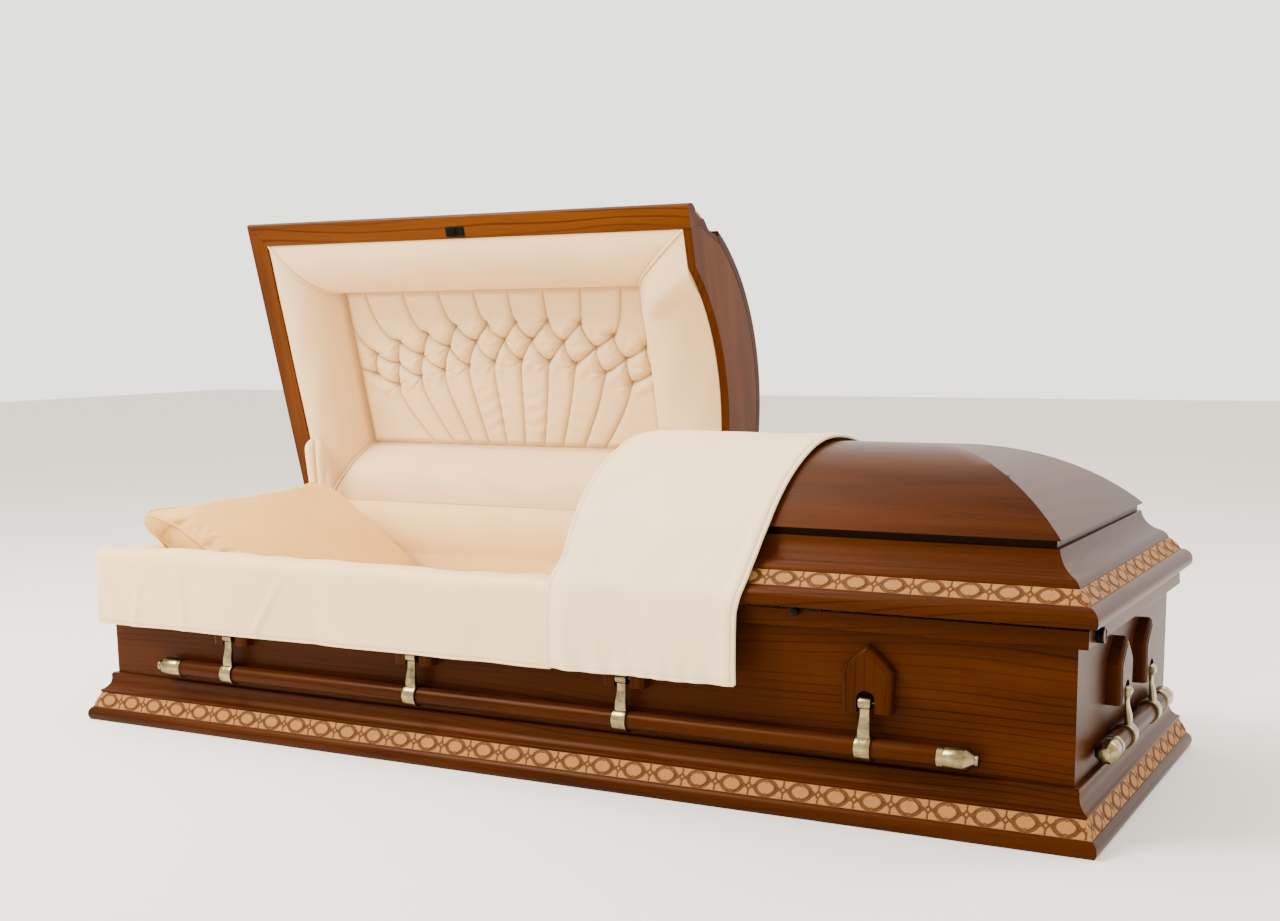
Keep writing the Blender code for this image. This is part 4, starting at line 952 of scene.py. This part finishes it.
def padded_roll(outer, inner, arched=False):
    """A quarter ellipse from the rim to the tufted panel, swept between two mitres and drawn in at both."""
    s = np.linspace(0, 1, 181)[:, None]
    angle = np.linspace(0, math.pi / 2, 31)[None, :]
    across = np.concatenate([[[0.0]], np.sin(angle), [[1.0, 0.68, 0.0]]], 1)
    height = ROLL_LOW + (TUFT_Z + 0.003 - ROLL_LOW) * (1 - np.cos(angle)) - 0.0065 * np.sin(2 * angle)
    height = np.concatenate([[[0.3600]], height, [[0.4775, 0.4775, 0.3840]]], 1)
    soft = np.concatenate([[[0.0]], np.sin(2 * angle) + 0.25, [[0.0, 0.0, 0.0]]], 1)
    first, last = (np.array(outer[k]) + (np.array(inner[k]) - outer[k]) * across[0][:, None] for k in (0, 1))
    ground = first[None] + (last - first)[None] * s[..., None]
    run = np.linalg.norm(last - first, axis=1)[None]
    near_end = np.minimum(s, 1 - s) * run
    place = s * run
    wave = 0.0012 * np.sin(place / 0.083 + 3 * across) + 0.0009 * np.sin(place / 0.031 - 5 * across)
    lift = arch_lift(ground[:, :1, 1]) * (1 - across) if arched else 0
    z = height + soft * (0.0042 * np.exp(-near_end / 0.007) + wave * smooth(0, 0.05, near_end)) + lift
    points = opened(np.concatenate([ground, z[..., None]], -1))
    # Painted shade: darker next to both mitres and along the edge where the roll meets the tufted panel.
    shade = 0.95 * np.exp(-near_end / 0.0045) + 0 * z
    shade = np.maximum(shade, 0.5 * smooth(0.975, 1.0, across) + 0 * z)
    return solid(points, crease=shade)


def build_rolls():
    """Four rolls between the rim and the tufted panel, with piped mitres."""
    outer = [(HEAD_INNER, -SIDE_INNER), (CUT_INNER, -SIDE_INNER), (CUT_INNER, SIDE_INNER), (HEAD_INNER, SIDE_INNER)]
    inner = [(TUFT_HEAD, -TUFT_SIDE), (TUFT_CUT, -TUFT_SIDE), (TUFT_CUT, TUFT_SIDE), (TUFT_HEAD, TUFT_SIDE)]
    parts = []
    for k in range(4):
        after = (k + 1) % 4
        parts.append(padded_roll((outer[k], outer[after]), (inner[k], inner[after]), arched=k == 1))
    angle = np.linspace(0, math.pi / 2, 31)
    for a, b in zip(outer, inner):
        ground = np.array(a) + (np.array(b) - a) * np.sin(angle)[:, None]
        z = ROLL_LOW + (TUFT_Z + 0.003 - ROLL_LOW) * (1 - np.cos(angle)) - 0.0065 * np.sin(2 * angle)
        z = z + 0.0010 * (np.sin(2 * angle) + 0.25)
        parts.append(tube(opened(np.column_stack([ground, z])), 0.0031))
    made = piece("padded_rolls", parts, [CREAM], "head_lid", ["head_lid_rolls"], sharp=60, weld=False)


def curve(start, control, end, steps=7):
    """Points of a parabola that leaves start towards control and arrives at end from it."""
    t = np.linspace(0, 1, steps + 1)[:, None]
    start, control, end = (np.array(p, float) for p in (start, control, end))
    return start * (1 - t) ** 2 + 2 * control * t * (1 - t) + end * t**2


def creases():
    """The sewn lines of the panel: the fans to both edges and the crossing lines between the rows of buttons."""
    one, two, three = BUTTONS
    fans, crossed = [], []
    for x, (bx, by) in zip(FAN_TOP, one[1:-1]):
        fans.append(curve((x, -TUFT_SIDE), (x + 0.25 * (bx - x), by - 0.012), (bx, by)))
    for x, (bx, by) in zip(FAN_LOW, three):
        fans.append(curve((bx, by), (bx + 0.03 * (x - bx), by + 0.045), (x, TUFT_SIDE)))
    fans.append(curve(one[0], (-0.875, -0.062), (TUFT_HEAD, -0.098)))
    fans.append(curve(one[-1], (-0.106, -0.070), (TUFT_CUT, -0.090)))
    fans.append(curve(two[0], (-0.870, 0.010), (TUFT_HEAD, 0.000)))
    fans.append(curve(two[-1], (-0.100, 0.008), (TUFT_CUT, 0.010)))
    for upper, lower in ((one, two), (three, two)):
        for k, (x, y) in enumerate(upper):
            for x2, y2 in (lower[k], lower[k + 1]):
                crossed.append(curve((x, y), ((x + x2) / 2, (y + y2) / 2 + 0.006), (x2, y2), 4))
    return fans, crossed


def nearest(x, y, lines):
    """Distance of every grid point to the nearest of some lines."""
    found = np.full(x.shape, 1.0)
    for line in lines:
        for (ax, ay), (bx, by) in zip(line, line[1:]):
            dx, dy = bx - ax, by - ay
            t = np.clip(((x - ax) * dx + (y - ay) * dy) / (dx * dx + dy * dy), 0, 1)
            found = np.minimum(found, np.hypot(x - ax - t * dx, y - ay - t * dy))
    return found


def build_tufting():
    """Cloth drawn down along its sewn lines: it swells away from each line and dips into the buttons."""
    s, t = grid(390, 181)
    x = TUFT_HEAD - 0.001 + (TUFT_CUT - TUFT_HEAD + 0.002) * s
    y = -TUFT_SIDE - 0.001 + (2 * TUFT_SIDE + 0.002) * t
    fans, crossed = creases()
    to_fan, to_cross = nearest(x, y, fans), nearest(x, y, crossed)
    spots = np.array([spot for row in BUTTONS for spot in row])
    away = np.hypot(x[..., None] - spots[:, 0], y[..., None] - spots[:, 1])
    closest = away.argmin(-1)
    to_button = away.min(-1)
    turn = np.arctan2(y - spots[closest, 1], x - spots[closest, 0])
    band = 1 - smooth(0.004, 0.040, to_cross)
    line = np.minimum(to_fan, to_cross)
    swell = 0.0085 + 0.0110 * band
    puff = swell * (1 - np.exp(-line / (0.0050 + 0.0075 * band)))
    pinch = np.exp(-to_button / 0.016)
    # Painted shade along the sewn lines, darker near the buttons.
    shade = (0.55 + 0.45 * pinch) * np.exp(-((line / 0.0016) ** 2)) + 0.28 * np.exp(-line / 0.0045)
    puff -= 0.0075 * np.exp(-((to_button / 0.0075) ** 2)) + 0.0060 * np.exp(-((to_button / 0.022) ** 2))
    rays = np.sin(7 * turn + 2.4 * closest) + 0.6 * np.sin(11 * turn - 1.7 * closest)
    puff += 0.0034 * rays * np.exp(-to_button / 0.017) * smooth(0.001, 0.008, to_button)
    low_fan = smooth(0.03, 0.06, y) * (1 - smooth(0.14, 0.17, y)) * (1 - smooth(0.10, 0.20, np.abs(x + 0.45)))
    puff += 0.0010 * low_fan * np.sin(y / 0.0052 + 2.2 * np.sin(x / 0.021)) * np.sin(x / 0.035 + 1.0)
    edge = np.minimum.reduce([x - TUFT_HEAD, TUFT_CUT - x, y + TUFT_SIDE, TUFT_SIDE - y])
    z = TUFT_Z + 0.0010 - puff * smooth(-0.001, 0.016, edge)
    front = np.stack([x, y, z], -1)
    back = front[:, [-1, 0]] * (1, 1, 0) + (0, 0, 0.4930)
    points = opened(np.concatenate([front, back], 1))
    # More painted shade in the button dips and wrinkle troughs, and under the rolls along the panel's edge.
    shade += 0.7 * np.exp(-((to_button / 0.0045) ** 2)) + 0.16 * (-rays).clip(0) * np.exp(-to_button / 0.014)
    shade = np.clip(shade, 0, 1)
    shade = np.maximum(shade, 0.7 * np.exp(-edge.clip(0) / 0.003))
    shade = np.concatenate([shade, 0 * shade[:, :2]], 1)
    sewn = solid(points, crease=shade)
    stands = ["head_lid_tufted_panel"]
    made = piece("sunburst_panel", [sewn], [CREAM], "head_lid", stands, sharp=180)


def build_lining():
    """Padded cloth on the four inner walls, lapped over the rail at the head end."""
    plain = [(0.0678, 0.0200), (0.0760, 0.0200), (0.0770, 0.1500), (0.0810, 0.2400), (0.0815, 0.3000),
             (0.0790, 0.3340), (0.0740, 0.3425), (0.0700, 0.3435), (0.0690, 0.3430), (0.0678, 0.3400)]
    lapped = plain[:5] + [(0.0800, 0.3350), (0.0700, 0.3490), (0.0500, 0.3508), (0.0310, 0.3490), (0.0310, 0.3450)]
    sections = {side: np.array(lapped if side == "head" else plain) for side in SIDES}
    smoothed = {}
    for side, section in sections.items():
        front = flow(section[1:-1], 5)
        smoothed[side] = np.vstack([section[:1], front, section[-1:]])
    order = list(SIDES)
    parts = []
    for number, side in enumerate(order):
        meets = (smoothed[order[number - 1]], smoothed[order[(number + 1) % 4]])
        swept = length_of(side, smoothed[side], meets=meets)
        ends = swept["points"][[0, -1]]
        s = np.linspace(0, 1, 161)[:, None, None]
        points = ends[0] + (ends[1] - ends[0]) * s
        inwards = -SIDES[side][1]
        run = np.linalg.norm(points - points[:1], axis=-1)
        high = smooth(0.10, 0.30, points[..., 2])
        if side == "back":
            high = high * (1 - smooth(0.20, 0.25, points[..., 2]))
        depth = smooth(0, 0.002, SIDES[side][2] - 0.0690 - points @ SIDES[side][1])
        wave = 0.0022 * np.sin(run / 0.047 + 6 * points[..., 2]) + 0.0016 * np.sin(run / 0.021 - 9 * points[..., 2])
        ease = smooth(0, 0.03, np.minimum(run, run[-1:] - run))
        points = points + (wave * high * depth * ease)[..., None] * inwards
        parts.append(solid(points))
    stands = ["wall_lining"]
    made = piece("wall_cloth", parts, [INNER_CLOTH], "casket_box", stands, sharp=50, weld=False)


def build_hinge_cloth():
    """A padded strip from the back wall up to the open lid's roll, shaped for the lid standing open."""
    face = flow([(0.2985, 0.2820), (0.2950, 0.3150), (0.2975, 0.3450), (0.3060, 0.3720),
                 (0.3190, 0.3900), (0.3325, 0.3985)], 8)
    step = np.gradient(face, axis=0)
    inwards = np.stack([step[:, 1], -step[:, 0]], 1) / np.linalg.norm(step, axis=1)[:, None]
    thick = 0.0060 * np.sin(np.linspace(0.25, math.pi - 0.25, len(face)))[:, None]
    ring = np.vstack([face, (face + inwards * thick)[::-1]])
    s = np.linspace(0, 1, 221)[:, None]
    x = -0.9700 + (FOOT_LID_START - 0.006 + 0.9700) * s
    along = np.concatenate([np.linspace(0, 1, len(face)), np.linspace(1, 0, len(face))])[None, :]
    front = np.concatenate([np.ones(len(face)), np.zeros(len(face))])[None, :]
    fall = np.exp(-((x + 0.97) / 0.16))
    wave = 0.0022 * np.sin(x / 0.060 + 2 * along) + 0.0050 * fall * np.sin(along * 7 + (x + 0.97) / 0.022)
    wave = wave * front * np.sin(math.pi * np.clip(along, 0, 1)) ** 0.7
    points = np.stack([x + 0 * along, ring[None, :, 0] - 0.85 * wave, ring[None, :, 1] + 0.4 * wave], -1)
    # Painted shade: a dark line at the top end of the strip, where it tucks under the lid's roll.
    shade = 0.85 * smooth(0.94, 0.985, along) + 0 * x
    strip = solid(points, crease=shade)
    made = piece("hinge_cloth", [strip], [INNER_CLOTH], None, sharp=70)
    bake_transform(made)


def cushion(name, box, round_by, crown_by, finish, body, stands_for):
    """A long pad: rounded edges all round, a little crowned on its top."""
    (x0, y0, z0), (x1, y1, z1) = box
    turn = np.linspace(0, math.pi / 2, 9)
    ease = np.concatenate([1 - np.sin(turn), np.zeros(60), (1 - np.sin(turn))[::-1]])
    corner = round_by * (1 - np.cos(turn))
    x = np.concatenate([x0 + corner, np.linspace(x0 + round_by, x1 - round_by, 60), (x1 - corner)[::-1]])
    angle = np.linspace(0, 2 * math.pi, 120, endpoint=False)[None, :]
    c, s = rounded_square(angle, 0.28)
    half_y = (y1 - y0) / 2 - round_by * ease[:, None]
    half_z = (z1 - z0) / 2 - round_by * ease[:, None]
    y = (y0 + y1) / 2 + half_y * c
    z = (z0 + z1) / 2 + half_z * s
    z = z + crown_by * np.clip(s, 0, 1) * (1 - c**4) * (1 - ease[:, None])
    points = np.stack([x[:, None] + 0 * angle, y, z], -1)
    pad = solid(points)
    made = piece(name, [pad], [finish], body, stands_for, sharp=70)


def inflate(obj, pressure, cap):
    """Blows the shell up as cloth for twenty frames with no weight, and holds each point within its cap."""
    count = len(obj.data.vertices)
    start = np.empty(count * 3)
    obj.data.vertices.foreach_get("co", start)
    start = start.reshape(-1, 3)
    cloth = obj.modifiers.new("air", "CLOTH")
    cloth.settings.use_pressure = True
    cloth.settings.uniform_pressure_force = pressure
    cloth.settings.effector_weights.gravity = 0
    cloth.settings.tension_stiffness = cloth.settings.compression_stiffness = 12
    cloth.settings.bending_stiffness = 0.3
    cloth.settings.quality = 5
    cloth.point_cache.frame_start, cloth.point_cache.frame_end = 1, 20
    scene = bpy.context.scene
    for number in range(1, 21):
        scene.frame_set(number)
    blown = obj.evaluated_get(bpy.context.evaluated_depsgraph_get()).data
    end = np.empty(count * 3)
    blown.vertices.foreach_get("co", end)
    move = end.reshape(-1, 3) - start
    far = np.linalg.norm(move, axis=1)[:, None]
    held = start + move * np.minimum(1, np.reshape(cap(start), (-1, 1)) / np.maximum(far, 1e-9))
    obj.modifiers.remove(cloth)
    scene.frame_set(1)
    obj.data.vertices.foreach_set("co", held.ravel())
    obj.data.update()
    return held


PILLOW_CENTRE = np.array((-0.799, 0.008, 0.3030))
PILLOW_SLOPE = math.radians(36)
PILLOW_HALF = (0.212, 0.284)
GUSSET = 0.030


def pillow_place(u, v, w):
    """Pillow points: u along its slope towards the foot, v across, w up from its seam."""
    c, s = math.cos(PILLOW_SLOPE), math.sin(PILLOW_SLOPE)
    x = PILLOW_CENTRE[0] + u * c + w * s
    z = PILLOW_CENTRE[2] - u * s + w * c + 0.020 * v
    return np.stack(np.broadcast_arrays(x, PILLOW_CENTRE[1] + v, z), -1)


def build_pillow():
    """Two cloths sewn along bowed edges, blown up with the cloth solver, then piped along the seam."""
    a, b = np.meshgrid(np.linspace(-1, 1, 61), np.linspace(-1, 1, 81), indexing="ij")
    u = PILLOW_HALF[0] * a * (1 - 0.060 * (1 - b**2))
    v = PILLOW_HALF[1] * b * (1 - 0.045 * (1 - a**2))
    rim = 0.0035 + GUSSET * np.sqrt(np.maximum(1 - a**2, 1 - b**2).clip(0))
    full = rim + 0.0140 * ((1 - a**2) * (1 - b**2)) ** 0.42
    shell = [patch(pillow_place(u, v, full)), patch(pillow_place(u, v, -full))]
    for row in ((0, slice(None)), (-1, slice(None)), (slice(None), 0), (slice(None), -1)):
        band = [pillow_place(u[row], v[row], way * full[row]) for way in (1, 0.33, -0.33, -1)]
        shell.append(patch(np.stack(band)))
    made = piece("head_pillow", shell, [PILLOW_CLOTH], "casket_box", ["pillow"], sharp=180)
    edge = np.concatenate([
        np.stack([u[run], v[run], full[run]], 1)
        for run in (np.s_[0, :], np.s_[1:, -1], np.s_[-1, -2::-1], np.s_[-2:0:-1, 0])
    ])
    seams = [pillow_place(edge[:, 0], edge[:, 1], way * edge[:, 2]) for way in (1, -1)]
    even = made.modifiers.new("even mesh", "REMESH")
    even.mode, even.voxel_size = "VOXEL", 0.006
    graph = bpy.context.evaluated_depsgraph_get()
    made.data = bpy.data.meshes.new_from_object(made.evaluated_get(graph))
    made.modifiers.clear()
    before = np.empty(len(made.data.vertices) * 3)
    made.data.vertices.foreach_get("co", before)
    before = before.reshape(-1, 3)
    tracked = [[np.argsort(((before - spot) ** 2).sum(1))[:5] for spot in seam] for seam in seams]

    def cap(points):
        local = points - PILLOW_CENTRE
        lean = local[:, 0] * math.cos(PILLOW_SLOPE) - local[:, 2] * math.sin(PILLOW_SLOPE)
        slope = np.abs(lean) / PILLOW_HALF[0]
        return 0.022 * (1 - 0.85 * smooth(0.45, 0.95, slope * np.abs(local[:, 1]) / PILLOW_HALF[1]))

    after = inflate(made, 4.0, cap)
    seams = [np.array([after[near].mean(0) for near in spots]) for spots in tracked]
    for _ in range(3):
        seams = [(np.roll(seam, 1, 0) + 2 * seam + np.roll(seam, -1, 0)) / 4 for seam in seams]
    local = after - PILLOW_CENTRE
    c, s = math.cos(PILLOW_SLOPE), math.sin(PILLOW_SLOPE)
    flat = np.stack([local[:, 1], local[:, 0] * c - local[:, 2] * s], 1)
    mesh = made.data
    layer = mesh.uv_layers.new(name="cloth")
    corners = np.empty(len(mesh.loops), np.int32)
    mesh.loops.foreach_get("vertex_index", corners)
    layer.data.foreach_set("uv", flat[corners].ravel())
    mesh.shade_smooth()
    finer = made.modifiers.new("finer", "SUBSURF")
    finer.levels = finer.render_levels = 1
    cords = [tube(seam, 0.0032) for seam in seams]
    for cord in cords:
        cord["wrap_rows"], cord["caps"] = True, (False, False)
    piping = piece("pillow_piping", cords, [PILLOW_CLOTH], "casket_box", sharp=180)
    for soft in (made, piping):
        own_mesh(soft)


def cloth_along(path, low_x, high_x, thick, ripple, cols=130):
    """A sheet along a path in the (y, z) plane, its long edges rounded, moved along its normal by a ripple."""
    step = np.gradient(path, axis=0)
    normal = np.stack([-step[:, 1], step[:, 0]], 1) / np.linalg.norm(step, axis=1)[:, None]
    length = np.concatenate([[0], np.cumsum(np.linalg.norm(np.diff(path, axis=0), axis=1))])
    t = np.linspace(0, 1, cols)[None, :]
    x = low_x[:, None] + (high_x - low_x)[:, None] * t
    lift = ripple(length[:, None], x)
    centre = path[:, None] + normal[:, None] * lift[..., None]
    from_edge = np.minimum(x - low_x[:, None], high_x[:, None] - x)
    half = thick / 2 * np.sqrt(np.clip(1 - (1 - np.clip(from_edge / (thick / 2), 0, 1)) ** 2, 0.02, 1))
    ends = np.minimum(length, length[-1] - length)[:, None]
    half = half * np.sqrt(np.clip(1 - (1 - np.clip(ends / (thick / 2), 0, 1)) ** 2, 0.02, 1))
    outer = centre + normal[:, None] * half[..., None]
    inner = centre - normal[:, None] * half[..., None]
    outer = np.concatenate([x[..., None], outer], -1)
    inner = np.concatenate([x[..., None], inner], -1)
    centre = np.concatenate([x[..., None], centre], -1)
    # Painted shade: a thin dark line about 6 mm in from the edges, where the hem seam dips.
    seam = 0.7 * np.exp(-(((np.minimum(from_edge, length[:, None]) - 0.0062) / 0.0011) ** 2))
    uv = np.stack([x, length[:, None] + 0 * x], -1)
    uv = np.concatenate([uv, uv[:, ::-1]], 1)
    points = np.concatenate([outer, inner[:, ::-1]], 1)
    seam = np.concatenate([seam, 0 * seam], 1)
    return solid(points, uv=uv, crease=seam), centre, length[-1]


def build_throw():
    """The cloth over the foot lid: hung in front, over the dome and down its back, with a piped edge."""
    reach = CROWN_RADIUS + 0.0085
    angle = np.linspace(-math.asin(0.2965 / reach), math.radians(38), 90)
    over = np.stack([reach * np.sin(angle), CROWN_CENTRE + reach * np.cos(angle)], 1)
    front = flow([(-0.3835, 0.2150), (-0.3830, 0.2700), (-0.3820, 0.3300), (-0.3770, 0.3620), (-0.3590, 0.3900),
                  (-0.3360, 0.4250), (-0.3130, 0.4610), tuple(over[0])], 14)
    path = np.vstack([front[:-1], over])
    gone = np.concatenate([[0], np.cumsum(np.linalg.norm(np.diff(path, axis=0), axis=1))])
    low_edge = (0.0860, 0.0900, 0.0960, 0.1060, 0.1055, 0.1015, 0.0985)
    high_edge = (0.4500, 0.4525, 0.4600, 0.4650, 0.4740, 0.4740, 0.4705)
    low_x = np.interp(gone, (0, 0.12, 0.16, 0.20, 0.27, 0.34, 0.55), low_edge)
    high_x = np.interp(gone, (0, 0.12, 0.16, 0.20, 0.27, 0.36, 0.55), high_edge)

    def ripple(along, x):
        hang = 1 - smooth(0.02, 0.20, along)
        folds = 0.0048 * np.sin(x / 0.0165 + 0.9 * np.sin(along / 0.06)) * np.exp(-(((x - 0.125) / 0.04) ** 2))
        folds += 0.0034 * np.sin(x / 0.026 + 1.2 + along / 0.09)
        folds += 0.0016 * np.sin(x / 0.0068 + 2 * np.sin(x / 0.05)) * np.exp(-along / 0.022)
        laid = 0.0007 * np.sin(x / 0.041 + along / 0.07) + 0.0005 * np.sin(x / 0.019 - along / 0.033)
        edge = 0.0026 * np.exp(-(((x[:, -1:] - x - 0.014) / 0.009) ** 2))
        return hang * folds + (1 - hang) * laid + 0.0011 * hang + edge

    sheet, centre, length = cloth_along(path, low_x, high_x, 0.0062, ripple)
    made = piece("lid_throw", [sheet], [CHAMPAGNE], "foot_lid", ["throw"], sharp=70)
    edges = [tube(edge, 0.0034, 12) for edge in (centre[:, 0], centre[:, -1], centre[0], centre[-1])]
    piping = piece("throw_piping", edges, [CHAMPAGNE], "foot_lid", sharp=180, weld=False)


def build_apron():
    """The cloth turned out over the front rail, with soft upright folds that open towards its hem."""
    path = flow([(-0.3745, 0.2105), (-0.3730, 0.2600), (-0.3712, 0.3200), (-0.3690, 0.3450), (-0.3610, 0.3572),
                 (-0.3450, 0.3606), (-0.3240, 0.3612), (-0.3070, 0.3560), (-0.2990, 0.3400), (-0.2975, 0.3100),
                 (-0.2975, 0.2920)], 10)
    head_edge = -1.0240
    low_x = np.full(len(path), head_edge)
    inside = smooth(0.205, 0.230, np.linspace(0, 0.285, len(path)))
    hang = 1 - smooth(0.00, 0.15, np.linspace(0, 0.285, len(path)))
    low_x = low_x + 0.054 * inside + 0.013 * hang
    high_x = np.full(len(path), 0.0900)

    def ripple(along, x):
        hang = 1 - smooth(0.01, 0.16, along)
        folds = 0.0036 * np.sin(x / 0.036 + 1.6 * np.sin(x / 0.17)) * (0.35 + 0.65 * np.sin(x / 0.121 + 2.0) ** 2)
        folds += 0.0060 * np.exp(-(((x + 0.583 - 0.62 * (along - 0.01)) / 0.009) ** 2)) * smooth(0.0, 0.02, along)
        folds += 0.0040 * np.exp(-(((x + 0.772) / 0.012) ** 2)) - 0.0046 * np.exp(-(((x + 0.440) / 0.016) ** 2))
        folds += 0.0030 * np.exp(-(((x + 0.900 - 0.2 * along) / 0.010) ** 2))
        top = smooth(0.12, 0.17, along) * (1 - smooth(0.20, 0.24, along))
        puckers = 0.0012 * np.sin(x / 0.023 + 2 * np.sin(x / 0.09)) + 0.0016 * np.sin(x / 0.071)
        turned = -0.0100 * np.exp(-(x - x[:, :1]) / 0.0065) * (1 - smooth(0.17, 0.20, along))
        from_head = x - head_edge
        end = np.exp(-from_head / 0.05) * 0.0042 * np.sin(from_head / 0.0095 + along / 0.03)
        return hang * folds + 0.0015 * np.sin(x / 0.11 + 1) * (1 - hang) + top * puckers + turned + end

    sheet, centre, length = cloth_along(path, low_x, high_x, 0.0052, ripple, 420)
    made = piece("turned_apron", [sheet], [CREAM], "casket_box", ["apron"], sharp=70)
    edges = [tube(centre[:75, 0], 0.0030), tube(centre[0], 0.0026)]
    hem = piece("apron_hem", edges, [CREAM], "casket_box", sharp=180, weld=False)


def build_stay():
    """The cloth sleeve over the lid stay, from the case's head corner up to the open lid."""
    line = flow([(-0.940, 0.262, 0.325), (-0.946, 0.266, 0.390), (-0.955, 0.272, 0.450),
                 (-0.962, 0.277, 0.510), (-0.965, 0.281, 0.545)], 10)
    along = np.linspace(0, 1, len(line))
    half = (0.0190 + 0.0045 * smooth(0.35, 0.80, along)) * np.sqrt(1 - ((along - 0.80) / 0.2005).clip(0) ** 2)
    c = np.array([(-1, 0), (-0.75, 0.30), (-0.35, 0.38), (-0.07, 0.24), (0, 0.02), (0.07, 0.24), (0.35, 0.38),
                  (0.75, 0.30), (1, 0), (0.6, -0.35), (-0.6, -0.35)])
    across, outwards = np.array((0.85, 0.52, 0)), np.array((0.52, -0.85, 0.10))
    points = line[:, None] + half[:, None, None] * (c[None, :, :1] * across + c[None, :, 1:] * outwards)
    sleeve = solid(points)
    made = piece("stay_sleeve", [sleeve], [CREAM], None, sharp=80)
    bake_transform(made)


# Locks and hinges


def disc(x, y, z, profile, axis, around=40):
    """A turned form about an axis along X or Y: pairs of (distance along the axis, radius)."""
    profile = np.array(profile)
    angle = np.linspace(0, 2 * math.pi, around, endpoint=False)[None, :]
    along, radius = profile[:, :1], profile[:, 1:]
    turned = (radius * np.cos(angle), z + radius * np.sin(angle))
    if axis == "x":
        points = np.stack([x + along + 0 * angle, y + turned[0], turned[1]], -1)
    else:
        points = np.stack([x + turned[0], y + along + 0 * angle, turned[1]], -1)
    return solid(points)


def block(low, high):
    """A box between two corners."""
    (x0, y0, z0), (x1, y1, z1) = low, high
    ring = np.array([(x0, y0), (x1, y0), (x1, y1), (x0, y1)])
    return solid(np.stack([np.insert(ring, 2, z, axis=1) for z in (z0, z1)]))


def build_hardware():
    """Lock plug in the foot rail, latch and strike under the rims, and three hinges behind."""
    face = HALF_LENGTH - RAIL_INSET
    barrel = disc(face, -0.297, 0.3300, [(0.0002, 0.0126), (0.0100, 0.0126)], "x")
    rim = [(0.0101, 0.0129), (0.0116, 0.0129), (0.0121, 0.0122), (0.0121, 0.0104), (0.0112, 0.0098), (0.0112, 0.0010)]
    cover = disc(face, -0.297, 0.3300, rim, "x")
    barrel["finish"] = 1
    stands = ["lock_plug"]
    piece("lock_cover", [barrel, cover], [WOOD_Y, STEEL], "casket_box", stands, sharp=30, weld=False)
    latch = [block((0.534, -0.3590, 0.3450), (0.594, -0.3540, 0.3496))]
    latch.append(disc(0.550, -0.3640, 0.3415, [(0.0, 0.0058), (0.0012, 0.0066), (0.0080, 0.0066)], "y", 20))
    piece("lid_latch", latch, [STEEL], "foot_lid", sharp=30, weld=False, bevel=0.0005)
    strike = block((-0.491, -0.3460, 0.3474), (-0.445, -0.3250, 0.3496))
    strike["points"] = opened(strike["points"])
    notch = block((-0.484, -0.3420, 0.3462), (-0.466, -0.3320, 0.3474))
    notch["points"] = opened(notch["points"])
    piece("lid_strike", [strike, notch], [STEEL], "head_lid", sharp=30, weld=False, bevel=0.0004)
    for body, places in (("head_lid", (-0.80, -0.45, -0.10)), ("foot_lid", (0.20, 0.52, 0.84))):
        for number, x in enumerate(places, 1):
            leaf = block((x - 0.030, 0.3470, 0.3180), (x + 0.030, 0.3482, 0.3440))
            piece(f"{body}_hinge_{number}", [leaf], [BRASS], "casket_box", sharp=30, bevel=0.0004)


build_case()
build_bands()
build_lid("head_lid", HEAD_LID_END, "head", opened)
build_lid("foot_lid", FOOT_LID_START, "foot")
build_handles()
build_rolls()
build_tufting()
build_lining()
build_hinge_cloth()
mattress_box = ((-0.968, -0.296, 0.0185), (0.968, 0.296, MATTRESS_TOP))
cushion("mattress_pad", mattress_box, 0.034, 0.004, INNER_CLOTH, "casket_box", ["mattress"])
lining_box = ((0.120, -0.3150, 0.3560), (0.986, 0.3150, 0.3700))
cushion("foot_lid_panel", lining_box, 0.006, 0.0, INNER_CLOTH, "foot_lid", ["foot_lid_lining"])
build_pillow()
build_apron()
build_throw()
build_stay()
build_hardware()
